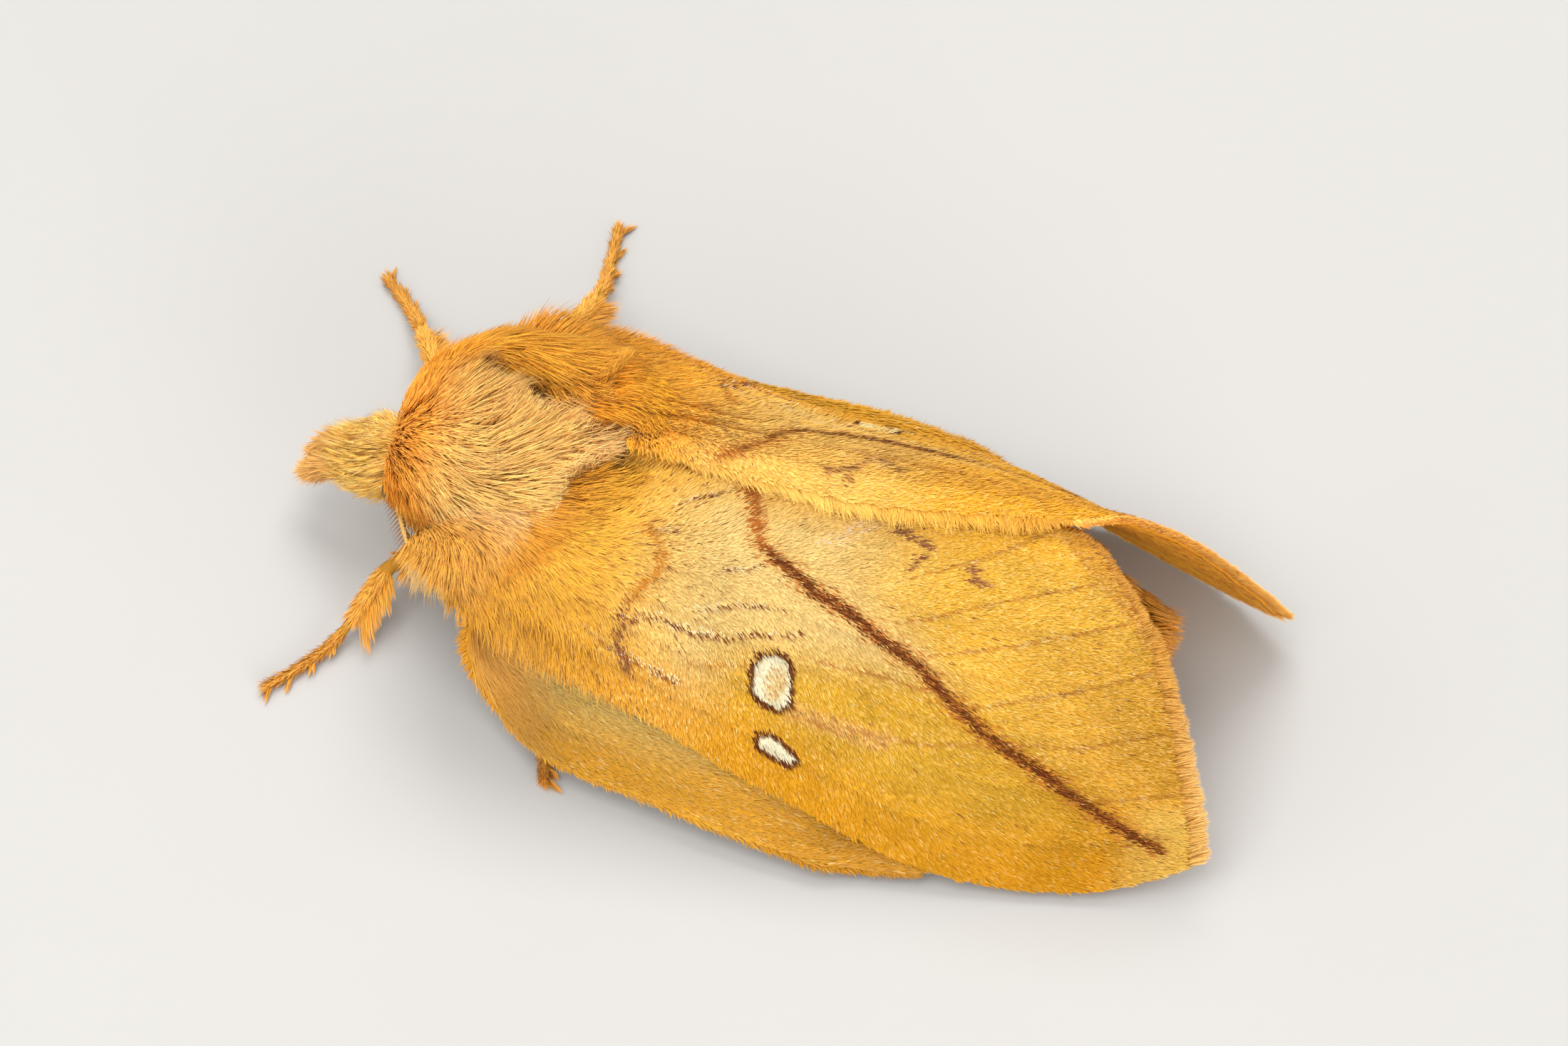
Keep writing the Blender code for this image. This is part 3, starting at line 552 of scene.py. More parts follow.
def ahead(plan, turn, side, length):  # the place in the wing's plane that far along a scale
    return plan + col(length) * stack(np.cos(turn), np.sin(side * turn))


def foreGrid(side):
    back, down = np.meshgrid(*(np.linspace(0, 1, foreWing[key]) for key in ("rows", "columns")),
                             indexing="ij")
    inner = foreWing["inner"][side]
    root = (inner[0], *foreWing["root"])
    termen = (inner[-1], *foreWing["termen"])
    costa = foreWing["costa"]
    across = mix(curveAt(inner, back), curveAt(costa, back), col(down))
    lengthwise = mix(curveAt(root, down), curveAt(termen, down), col(back))
    near, far = (mix(np.array(inner[end]), np.array(costa[end]), col(down)) for end in (0, -1))
    flat = across + lengthwise - mix(near, far, col(back))
    ridge = veinRidge(down, foreWing["veins"], 0.014) * ramp(back, 0, 0.12) * ramp(back, 1, 0.94)
    setIn = foreWing["setIn"] - foreWing["veinHeight"] * ridge - 0.05 * lumps(flat, 1.7, 5)
    points = roofPoint(flat[..., 0], flat[..., 1], side, setIn)
    return tucked(points, flat[..., 1], side), flat


# the markings, drawn in the wing's own plane: x behind the root and w down from the ridge
marks = {
    "line": {-1: ((8.1, -0.1), (8.5, 0.5), (9.1, 1.3), (9.45, 2.2), (9.6, 2.8), (9.9, 3.2), (10.6, 3.7),
                  (11.4, 4.1), (12.2, 4.6), (12.6, 4.85), (13.2, 5), (14, 5.35), (15, 5.95), (16.2, 6.5),
                  (17, 6.95), (17.6, 7.5), (18.3, 8.1), (20.1, 9.45), (21.7, 10.5), (23.2, 11.4),
                  (24.5, 12.3), (26, 13.3), (27.5, 14.2)),
             1: ((7.3, -0.2), (8, 0.2), (8.4, 0.8), (8.9, 1.4), (9.1, 2.9), (9.8, 3.8), (10.9, 4.5),
                 (12.2, 5.2), (13.6, 5.5), (15.2, 6), (17, 6.9), (19, 8.5), (22, 10.45), (25, 12.5),
                 (27.5, 14.2))},
    "inner": ((6.1, 9.1), (5.5, 8.3), (5.35, 7.6), (5.3, 7), (5.6, 6.1), (6.2, 5.2), (6.35, 4.8), (6.1, 4.3),
              (5.6, 3.8), (5.2, 3.4)),
    "bigSpot": ((11.1, 7.6), (11.6, 7.45), (12.05, 7.55), (12.3, 8.05), (12.45, 8.75), (12.55, 9.4),
                (12.15, 9.7), (11.45, 9.45), (11, 9), (10.85, 8.1)),
    "smallSpot": ((11.6, 10.8), (12.05, 10.75), (12.7, 11.1), (13.3, 11.55), (13.05, 11.85), (12.4, 11.65),
                  (11.7, 11.3)),
    "core": (11.85, 8.6),
    "streaks": (((3.9, 7.9), (4.9, 8.3), (5.8, 8.6), (7, 9), (8.3, 9.4)),
                ((5.2, 7.2), (5.8, 7.3), (6.25, 6.95), (7, 6.95), (7.6, 7.15), (8.3, 7.25), (9.6, 7.25)),
                ((9.9, 7.15), (10.6, 6.85), (11.7, 6.7), (12.4, 6.45)),
                ((8, 6.45), (8.8, 6.2), (9.8, 5.85), (11.1, 5.6)), ((8.8, 4.6), (9.5, 4.45), (10.2, 4.1)),
                ((6.3, 2), (6.9, 1.6), (7.9, 1.2)), ((5.3, 3.7), (6.1, 3.4), (6.7, 3.4))),
    "streakStrength": (2.2, 2.2, 1.4, 1, 0.8, 1, 0.8),
    "band": ((12.7, 9.6), (13.85, 9.85), (14.8, 10), (15.7, 10.2), (16.4, 10.25)),
    "patches": (((13.3, 1.6), (13.65, 1.15), (14, 1.2)), ((12.3, 2.5), (12.8, 2.2), (13.4, 1.7))),
    "smudges": {-1: (((15.2, 0.6), (14.95, 0.9), (14.9, 1.3), (15.3, 1.35), (15.75, 1.5), (16.4, 1.75)),
                     ((16.2, 2.3), (16, 2.65), (15.9, 2.95)),
                     ((18.05, 2.45), (18.45, 2.5), (18.3, 3), (19, 3.1))),
                1: (((11.7, 0), (12.1, 0.2), (12.5, 0.45), (12.8, 0.8), (13, 1.5)),
                    ((12.4, 0.1), (12.7, -0.2)), ((13.5, 1.7), (14, 1.5), (14.4, 0.9)))},
    "veins": (((16, 3.4), (18.4, 1.9), (20.6, 0.3)), ((15.9, 5.5), (16.9, 5.1), (19.54, 3.94), (23.2, 2)),
              ((16.6, 6.7), (17.22, 6.59), (20.84, 5.58), (24.9, 3.9)),
              ((18.6, 8.6), (19.77, 8.39), (23.07, 7.34), (26.2, 6)),
              ((20.9, 9.9), (21.65, 9.87), (23.88, 9.76), (27, 8.8)),
              ((23.6, 12.2), (25.3, 12.04), (28.5, 11.5)), ((13.4, 9.9), (17.94, 10.19), (21.65, 9.87)),
              ((12.6, 7.4), (15.6, 7.6), (18.4, 8.1)), ((8.4, 8.6), (9.6, 8.3), (10.8, 8))),
    "fringe": ((21.31, 0.4), (23, 1.98), (24.72, 3.97), (25.88, 5.71), (26.94, 8.58), (27.67, 10.16),
               (28.37, 12.11), (28.9, 14)),
}
# the 'under' tone is brighter than the wing's own underside: painted light for light shining through the thin
# wing
wingTones = {"base": (0.82, 0.43, 0.034), "inner": (0.72, 0.49, 0.16), "middle": (0.63, 0.42, 0.14),
             "discal": (0.53, 0.285, 0.02), "beyond": (0.67, 0.372, 0.042), "rear": (0.45, 0.175, 0.006),
             "costa": (0.54, 0.23, 0.004), "apex": (0.7, 0.45, 0.09), "line": (0.12, 0.027, 0.005),
             "rust": (0.4, 0.12, 0.02), "white": (0.7, 0.63, 0.43), "cream": (0.76, 0.55, 0.22),
             "brown": (0.2, 0.075, 0.028), "orange": (0.6, 0.22, 0.02), "fringe": (0.48, 0.2, 0.028),
             "under": (1, 0.46, 0.035)}
tone = {key: np.array(value) for key, value in wingTones.items()}


def wingShade(flat, side, stray=0):  # stray moves the edge of the marks for each scale
    x, w = flat[..., 0], flat[..., 1]
    zig = lumps(flat, 0.5, 3) * 0.1 - stray
    line = marks["line"][side]
    gap, place = lineDistance(flat, line)
    lineDown = np.interp(x, *np.transpose(line), left=-2)
    costaDown = np.interp(x, *np.transpose(foreWing["costa"]))
    shade = layers(
        tone["middle"],
        (tone["inner"], ramp(w, 4.5, 0.5) * ramp(x, 4, 8)),
        (tone["discal"], ramp(w, 6.2, 8.6) * ramp(x, 8, 11)),
        (tone["base"], ramp(x, 8.6, 3)),
        (tone["beyond"], ramp(lineDown - w, -0.2, 1.8) * ramp(x, 12, 18)),
        (tone["rear"], 0.45 * ramp(x, 20, 27) * ramp(w, 3, 9)),
        (tone["costa"], 0.85 * ramp(w - costaDown, -4.2, -0.6)),
        (tone["apex"], 0.7 * ramp(x, 25.2, 27.6) * ramp(w, 11.6, 12.8)),
        (tone["base"] * 1.1, 0.5 * ramp(w, 2.4, 0.4) * (side < 0)))  # lighter and warmer beside the far wing's fringe: painted light against the shadow that fringe casts
    shade = shade * col(1 + 0.16 * lumps(flat, 1.1, 1))
    # pale bloom each side of the dark line, then the line and the fainter one before it
    width = 0.08 * (1 - 0.5 * bell(place - 0.15, 0.035)) * (1 - 0.5 * ramp(place, 0.9, 1))
    strong = 0.74 - 0.25 * ramp(place, 0.16, 0.06)
    innerGap, innerPlace = lineDistance(flat, marks["inner"])
    faded = 0.75 - 0.35 * ramp(innerPlace, 0.45, 0.85)
    shade = layers(
        shade,
        (tone["cream"], 0.22 * bell(gap - 0.75, 0.5) * (lineDown < w) * (w < 6.5)),
        (tone["orange"], 0.35 * bell(gap, 0.42)),
        (mix(tone["rust"], tone["line"], col(ramp(place, 0.13, 0.19))),
         strong * ramp(width - gap - zig, -0.03, 0.03)),
        (tone["orange"] * 0.85, faded * ramp(innerGap + zig, 0.3, 0.05)),
        (tone["brown"], 0.6 * ramp(innerPlace, 0.45, 0.39) * ramp(innerGap + zig, 0.14, 0.02)))
    for number, vein in enumerate(marks["veins"]):
        gap, place = lineDistance(flat, vein)
        firm = ramp(place, 0, 0.12) * ramp(place, 1.02, 0.96)
        fleck = ramp(noise(flat, 0.25, 20 + number), 0.72, 0.82)
        shade = layers(shade, (tone["orange"] * 0.6, 0.5 * firm * bell(gap, 0.075)),
                       (tone["cream"], 0.35 * fleck * firm * (gap < 0.12)))
    for number, streak in enumerate(marks["streaks"]):
        gap, place = lineDistance(flat, streak)
        dots = noise(flat, 0.13, 40 + number)
        near = ramp(place, 0, 0.15) * ramp(place, 1, 0.85) * ramp(gap, 0.22, 0.08)
        shade = layers(shade, (tone["white"] * 0.9, near * 0.26 * (dots > 0.55)),
                       (tone["line"] * 1.6, near * 0.4 * (dots < 0.36)))
    dots = noise(flat, 0.15, 50) > 0.45
    for trail in marks["patches"]:
        shade = layers(shade, ((0.78, 0.6, 0.38), 0.28 * ramp(lineDistance(flat, trail)[0], 0.5, 0.1) * dots))
    for smudge in marks["smudges"][side]:
        gap, _ = lineDistance(flat, smudge)
        shade = layers(shade, ((0.3, 0.11, 0.06), 0.4 * ramp(gap, 0.24, 0.06) * dots))
    shade = layers(shade, ((0.62, 0.34, 0.1), 0.45 * ramp(lineDistance(flat, marks["band"])[0], 0.6, 0.2)))
    edge = lumps(flat, 0.14, 60) * 0.1 - stray * 0.4
    for spot, hollow in (("bigSpot", 0.85), ("smallSpot", 0)):
        gap = insideOf(flat, marks[spot]) + edge
        core = np.linalg.norm((flat - marks["core"]) / (0.55, 0.95), axis=-1)
        fleck = 0.5 + 0.5 * (noise(flat, 0.2, 62) > 0.45)
        inside = tone["white"] * col(0.92 + 0.2 * lumps(flat, 0.2, 61))
        inside = layers(inside, ((0.6, 0.43, 0.17), hollow * ramp(core, 1, 0.5) * fleck))
        shade = layers(shade, (tone["line"] * 0.75, 0.92 * ramp(gap, 0.14, 0.06)),
                       (inside, ramp(gap, 0.02, -0.08)))
    # only the near wing is darkened before its fringe; the far wing leaves it out as painted light against the
    # shade it lies in
    if side < 0:
        fringeX, fringeW = np.transpose(marks["fringe"])
        past = x - np.interp(w, fringeW, fringeX)
        shade = layers(shade, (tone["fringe"], 0.55 * ramp(past, 0, 0.3) + 0.25 * bell(past - 0.1, 0.2)))
    # the far wing's tint is painted light, making up for its dimmer light
    return np.clip(shade * (foreWing["farPaintedLift"] if side > 0 else 1), 0, 1)


def wingMarks(patch, side, word, chance):  # fine hairs that hatch the line, the spots and the veins
    count = foreWing["markTries"][side]
    u, v, *_ = patch.scatter(count, chance, uRange=(0.02, foreWing["scalesEnd"] - 0.01))
    plan = sampleGrid(patch.flat, u, v)
    turn = wingFlow(plan, side) + chance.normal(0, 0.09, count)
    length = 0.5 * chance.uniform(0.7, 1.25, count)
    seen = ahead(plan, turn, side, length * 0.5)
    gap, place = lineDistance(seen, marks["line"][side])
    strong = 1 - 0.35 * ramp(place, 0.16, 0.06) - 0.55 * bell(place - 0.15, 0.03)
    lineTone = mix(tone["rust"], tone["line"], col(ramp(place, 0.13, 0.19)))
    innerGap, innerPlace = lineDistance(seen, marks["inner"])
    innerTone = mix(tone["brown"], tone["orange"] * 0.8, col(ramp(innerPlace, 0.38, 0.5)))
    # how many of the hairs take each colour
    kinds = [(0.62 * strong * bell(gap, 0.18), lineTone), (0.14 * bell(gap, 0.36), tone["rust"]),
             (0.42 * bell(innerGap, 0.16), innerTone)]
    kinds += [(0.5 * bell(insideOf(seen, marks[spot]) - 0.06, 0.07), tone["line"] * 0.8)
              for spot in ("bigSpot", "smallSpot")]
    core = np.linalg.norm((seen - marks["core"]) / (0.4, 0.8), axis=-1)
    kinds.append((0.08 * (core < 1), (0.42, 0.22, 0.07)))
    trails = ((marks["smudges"][side], ((0.3, 0.15, (0.26, 0.09, 0.04)),)),
              (marks["streaks"], ((0.05, 0.14, (0.8, 0.68, 0.44)), (0.13, 0.08, tone["line"] * 1.3))),
              (marks["patches"], ((0.1, 0.28, (0.84, 0.68, 0.52)),)),
              ((marks["band"],), ((0.14, 0.3, (0.4, 0.17, 0.04)), (0.04, 0.2, tone["cream"]))),
              (marks["veins"], ((0.1, 0.08, (0.42, 0.17, 0.03)), (0.02, 0.14, tone["cream"]))))
    for lines, coats in trails:
        for number, line in enumerate(lines):
            gap, _ = lineDistance(seen, line)
            strength = marks["streakStrength"][number] if lines is marks["streaks"] else 1
            kinds += [(share * strength * bell(gap, width), tint) for share, width, tint in coats]
    kinds += [(0.0008 + 0.018 * ramp(seen[:, 0], 9.5, 4.5), tone["brown"]), (0.002, tone["cream"])]
    luck = chance.random(count)
    total = np.zeros(count)
    colour = np.zeros((count, 3))
    for share, tint in kinds:
        colour = swapped(colour, (luck >= total) & (luck < total + share), tint)
        total = total + share
    length = np.where(colour.mean(axis=1) > 0.4, length * 0.42, length)  # the pale ones are short
    u, v, turn, length, colour = (value[luck < total] for value in (u, v, turn, length, colour))
    root, normal, way = patch.at(u, v)
    count = len(u)
    rise = 0.12 + 0.06 * chance.random(count)
    tip = root + turnedAbout(way, normal, turn) * col(length) + normal * col(rise)
    print("mark hairs on the forewing:", count)
    return needleTufts(scaleFinish, "forewingMarks" + word, root + normal * 0.03, tip, normal,
                       0.05 * chance.uniform(0.8, 1.2, count), varied(colour, 0.2, chance), placeOn(u, v))


# the far wing's brown and tan are much lighter than the near wing's: painted light against the shade the far
# fringe and costa lie in
fringes = {"brown": {-1: (0.4, 0.155, 0.022), 1: (0.95, 0.48, 0.08)}, "deep": (0.32, 0.12, 0.018),
           "tan": {-1: (0.66, 0.34, 0.066), 1: (1, 0.6, 0.15)}, "pale": (1, 0.68, 0.28), "skinRows": 146,
           "termenHairs": 6500, "innerHairs": {-1: 800, 1: 6000}, "innerLength": 0.68, "costaHairs": 3000}


def buildForewing(side, word):
    chance = np.random.default_rng(11 + side)
    grid, flat = foreGrid(side)
    patch = Patch(grid, side, flat)
    shade = wingShade(flat[:fringes["skinRows"]], side)
    # the underside skin takes the brightened 'under' tone: painted light shining through the wing
    pieces = [closedSheet("forewingMembrane" + word, patch, foreWing["thickness"], shade,
                          mix(shade, tone["under"], 0.9))]
    # scales
    count = foreWing["scales"][side]
    u, v, root, normal, way = patch.scatter(count, chance, uRange=(0, foreWing["scalesEnd"]))
    plan = sampleGrid(flat, u, v)
    swirl = (lumps(plan, 2.2, 7) + lumps(plan, 0.6, 8)) * 0.3
    turn = wingFlow(plan, side) + swirl + chance.normal(0, 0.12, count)
    way = turnedAbout(way, normal, turn)
    near = ramp(plan[:, 0], 6.5, 2.5)
    length = foreWing["scaleLength"] * chance.uniform(0.75, 1.25, count) * (1 + 0.35 * near)
    width = foreWing["scaleWidth"] * chance.uniform(0.75, 1.2, count) * (1 - 0.2 * near)
    rise = 0.07 + 0.08 * chance.random(count) + 0.05 * near
    seen = ahead(plan, turn, side, length * 0.5)
    colour = varied(wingShade(seen, side, chance.normal(0, 0.07, count)), 0.12, chance)
    flecks = chance.random(count)
    colour = swapped(colour, flecks < 0.05, mix(colour, tone["cream"], 0.3))
    colour = swapped(colour, flecks > 0.992 - 0.03 * near, colour * 0.62)
    # some have paler tips, fewer at the costa and the apex
    paler = layers(colour * 1.12, ((1, 0.78, 0.36), 0.27 - 0.19 * ramp(plan[:, 1], 9, 13)))
    tips = swapped(colour * 0.98, (chance.random(count) < 0.24) & (colour.mean(axis=1) > 0.25), paler)
    values = (root, normal, way, length, width, rise, colour, placeOn(u, v))
    parts = math.ceil(count / foreWing["most"])
    for number in range(parts):
        part = slice(number, None, parts)
        pieces.append(scaleTufts(scaleFinish, f"forewingScales{word}{number + 1}",
                                 *(value[part] for value in values), tipShade=tips[part]))
    # longer hair towards the root
    count = foreWing["baseHairs"][side]
    u, v, root, normal, way = patch.scatter(count, chance, lambda v, p: ramp(p[..., 0], 9, 0) + 0.02,
                                            (0, 0.5))
    plan = sampleGrid(flat, u, v)
    near = ramp(plan[:, 0], 8, 0)
    way = turnedAbout(way, normal, wingFlow(plan, side) + lumps(plan, 1.3, 9) * 0.6
                      + chance.normal(0, 0.16, count))
    length = (0.5 + 0.9 * near) * chance.uniform(0.7, 1.25, count)
    tip = root + way * col(length) + normal * col(0.1 + 0.3 * near * chance.random(count))
    colour = varied(wingShade(plan, side), 0.16, chance)
    colour = swapped(colour, chance.random(count) < 0.14, colour * (0.42, 0.3, 0.3))
    pieces.append(needleTufts(furFinish, "forewingHair" + word, root - normal * 0.05, tip, normal, 0.05,
                              colour, placeOn(u, v), colour * 1.06))
    pieces.append(wingMarks(patch, side, word, chance))
    # the underside, its scales in the brightened 'under' tone: painted light for light shining through the
    # wing
    count = foreWing["underScales"]
    u, v, root, normal, way = patch.scatter(count, chance, uRange=(0, foreWing["scalesEnd"] - 0.02))
    way = turnedAbout(way, normal, chance.normal(0, 0.15, count))
    colour = varied(tone["under"], 0.15, chance, count)
    pieces.append(scaleTufts(scaleFinish, "forewingUnder" + word, root - normal * foreWing["thickness"],
                             -normal, way, 0.85 * chance.uniform(0.8, 1.2, count), 0.2, 0.07, colour,
                             placeOn(u, v)))
    return patch, pieces + wingFringe(patch, side, word, chance)


def wingFringe(patch, side, word, chance):
    # the rear edge: hair square to the edge, brown at its base and pale at its ragged tips
    count = fringes["termenHairs"]
    v = spreadOut(count, chance)
    short = chance.random(count) < 0.4
    u = foreWing["scalesEnd"] - 0.008 + 0.026 * chance.random(count)
    root, normal, way = patch.at(u, v)
    ones = np.ones(count)
    edge, above, below = (patch.at(ones, np.clip(v + step, 0, 1))[0] for step in (0, 0.01, -0.01))
    outward = unit(np.cross(unit(above - below), normal))
    outward = outward * col(np.sign((outward * way).sum(-1)))
    aim = unit(mix(outward, way, col(0.3 + 0.6 * ramp(v, 0.9, 1))))
    aim = turnedAbout(aim, normal, lumps(stack(v * 26, 0), 1, 4) * 0.5 + chance.normal(0, 0.08, count))
    layer = chance.random(count)
    root = root - normal * col(-0.06 + layer * (foreWing["thickness"] - 0.06))
    ragged = 0.9 + 0.16 * noise(stack(v * 60, 0), 1, 6)
    reach = np.abs(((edge - root) * aim).sum(-1)) * ragged * chance.uniform(0.82, 1.08, count)
    length = np.where(short, 0.36 * chance.uniform(0.6, 1.3, count), np.clip(reach, 0.3, 1.2))
    # on the far wing these are the lightened tones: painted light against its shade
    brown, tan = (np.array(fringes[key][side]) for key in ("brown", "tan"))
    base = varied(swapped(mix(brown, tan, 0.4), short, brown), 0.2, chance)
    ends = varied(layers(tan, (fringes["pale"], 0.45 * ramp(v, 0.4, 0.8) * (side < 0))), 0.16, chance)
    ends = swapped(ends, short, base)
    if side < 0:  # it starts gradually, and is browner towards the ridge
        near = wingShade(sampleGrid(patch.flat, u, v), side)
        base = layers(base, (fringes["deep"], 0.5 * ramp(v, 0.5, 0.25)),
                      (near, (0.25 + 0.6 * layer) * ramp(v, 0.2, 0.5)))
    pieces = [scaleTufts(fringeFinish, "termenFringe" + word, root, normal, aim, length, 0.06,
                         chance.normal(0, 0.04, count), base, placeOn(u, v), tipShade=ends)]
    # the inner edge along the ridge
    count = fringes["innerHairs"][side]
    u = spreadOut(count, chance) * 0.97
    v = 0.08 * chance.random(count) ** 1.4
    root, normal, way = patch.at(u, v)
    outward = unit(np.cross(way, normal)) * side
    outward = swapped(outward, outward[:, 1] * side > 0, -outward)
    sway = mix(1.7, 0.55, ramp(u, 0.2, 0.7)) + 1.3 * lumps(stack(u * 34, v), 1, 3)
    sway = sway + chance.normal(0, 0.3, count)
    lift = 0.1 - 0.45 * np.clip(1 - v / 0.05, 0, 1)
    aim = unit(outward + way * col(sway) + normal * col(lift))
    length = fringes["innerLength"] * chance.uniform(0.45, 1.25, count) * (0.8 + 0.4 * ramp(u, 0, 0.3))
    length = length * (1 - 0.7 * ramp(u, 0.86, 0.96)) * (1 - 0.3 * ramp(v, 0.03, 0.07))
    root = root - normal * col(0.16 * chance.random(count))
    tip = root + aim * col(length)
    base = layers(wingShade(sampleGrid(patch.flat, u, v), side),
                  ((0.62, 0.26, 0.024), 0.12 + 0.45 * ramp(u, 0.42, 0.62) * ramp(v, 0.045, 0.015)))
    ends = varied((0.86, 0.54, 0.12), 0.2, chance, count)
    pieces.append(needleTufts(fringeFinish, "innerFringe" + word, root - aim * 0.1, tip, normal, 0.045,
                              varied(base, 0.2, chance), placeOn(u, v),
                              mix(base, ends, col(chance.uniform(0.1, 0.9, count)))))
    # short down along the costa; on the far side its rear stretch shows from below, pale and ragged, in the
    # far wing's lightened tan: painted light against the shade there
    count = fringes["costaHairs"]
    u = spreadOut(count, chance) * 0.972
    v = 1 - 0.02 * chance.random(count)
    root, normal, way = patch.at(u, v)
    outward = unit(np.cross(way, normal))
    outward = swapped(outward, outward[:, 2] > 0, -outward)
    out, rise = chance.uniform(0.1, 0.5, count), chance.uniform(-0.2, 0.25, count)
    aim = unit(way + outward * col(out) + normal * col(rise))
    behind = ramp(u, 0.62, 0.78) * (side > 0)
    aim = unit(aim + outward * col(0.9 * behind))
    length = 0.5 * chance.uniform(0.7, 1.3, count) * (1 + 0.7 * ramp(u, 0.3, 0)) * (1 + 0.35 * behind)
    root = root - normal * col(foreWing["thickness"] * chance.random(count))
    colour = varied(layers(tone["costa"], (tan, behind)), 0.14, chance)
    pieces.append(scaleTufts(fringeFinish, "costaDown" + word, root, normal, aim, length, 0.06, 0, colour,
                             placeOn(u, v), tipShade=layers(colour, ((1, 0.72, 0.3), 0.5 * behind))))
    return pieces


# hindwings

hindWing = {
    "edge": ((-1, 6.9, 6), (-0.95, 7.4, 4.8), (-0.6, 7.8, 3.5), (0.1, 8.2, 2.6), (0.9, 8.7, 2.1),
             (1.7, 9.2, 1.9), (2.9, 9.7, 1.8), (4.2, 10, 1.7), (5.4, 10.1, 1.7), (7.6, 10.3, 1.7),
             (10.3, 10.5, 1.6), (12.9, 10.55, 1.4), (14.6, 10.55, 1.2), (16, 10.25, 1), (17.3, 9.95, 0.95),
             (18.4, 9.7, 1)),
    "rear": 21, "setIn": 1.3, "spread": 0.3, "sink": 0.25, "inner": ({-1: 6, 1: 6.5}, 2.8, 5),
    "under": (0.95, 1.3, 2.2), "shares": (0, 0.45, 0.78, 1), "edgeTuck": 1.2, "swellEnd": {-1: 9, 1: 7.5},
    "skinIn": 0.1, "thickness": 0.3, "veins": (0.12, 0.36, 0.6, 0.82), "rows": 110, "columns": 90,
    "scales": {-1: 22000, 1: 6000}, "hairs": {-1: 10000, 1: 1800}, "underScales": 1800, "edgeHairs": 4200,
    "front": (0.78, 0.34, 0.03), "low": (0.6, 0.29, 0.022), "band": (0.57, 0.4, 0.115),
    "hind": (0.48, 0.21, 0.02),
    "hidden": (0.66, 0.33, 0.06),
}


def hindGrid(side):
    back = np.linspace(0, 1, hindWing["rows"])
    costaTable = curveAt(foreWing["costa"], np.linspace(0, 1, 400)).T
    # the costal edge
    reach = hindWing["edge"][-1][0]
    x = mix(-1, hindWing["rear"], back)
    edge = curveAt(hindWing["edge"], (x + 1) / (reach + 1))
    if side > 0:
        edge[:, 1] += hindWing["spread"] * ramp(edge[:, 0], 8, 2)
        edge[:, 2] -= 0.7 * ramp(edge[:, 0], 2, -1) + hindWing["sink"] * ramp(edge[:, 0], 11, 15)
    edge[:, 1] *= side
    hidden = roofPoint(x, np.interp(x, *costaTable) - hindWing["edgeTuck"], side, hindWing["setIn"])
    part = (x - reach) / 2.5
    edge = swapped(edge, x > reach, mix(edge, hidden, stack(1, ramp(part, 0, 2 / 3), ramp(part, 1 / 3, 1))))
    # the hidden lines under the forewing
    x = mix(-0.4, hindWing["rear"], back)
    front, middle, rear = hindWing["inner"]
    inner = mix(mix(front[side], middle, ramp(back, 0, 0.3)), rear, ramp(back, 0.5, 1))
    first, second, third = hindWing["under"]
    outer = np.interp(x, *costaTable) - mix(mix(first, second, ramp(x, -0.4, 2.6)), third, ramp(x, 14.5, 17))
    setIn = hindWing["setIn"] + 0.15 * ramp(x, 12, 6) * (side > 0)
    lines = []
    for share in hindWing["shares"]:
        mark = mix(inner, outer, share)
        lines.append(tucked(roofPoint(x, mark, side, setIn), mark, side))
    end = hindWing["swellEnd"][side]
    swell = mix(mix(1, -3, ramp(x, end, end + 6)), 0, ramp(x, 15.8, 17.4))
    lines += [mix(lines[-1], edge, 0.55) + col(swell) * (0, 0.25 * side, 0.1), edge]
    down = np.linspace(0, 1, hindWing["columns"])
    grid = np.stack([curveAt(station, down) for station in np.stack(lines, axis=1)])
    ridge = veinRidge(down, hindWing["veins"], 0.02)[None] * ramp(back[:, None], 0.1, 0.3)
    grid = grid + col(0.07 * ridge) * (0, side, 1)
    return grid - gridNormals(grid, side) * hindWing["skinIn"]


def hindShade(points, v):
    x = points[..., 0]
    shade = layers(np.array(hindWing["low"]), (hindWing["band"], 0.9 * ramp(v, 0.93, 0.63)),
                   (hindWing["front"], 0.7 * ramp(x, 3, -1)), (hindWing["hind"], 0.6 * ramp(x, 9, 16)),
                   (hindWing["hidden"], ramp(v, 0.5, 0.3)))
    return shade * col(1 + 0.14 * (lumps(points, 1.3, 1) + lumps(stack(x * 0.35, v * 60), 1, 2)))


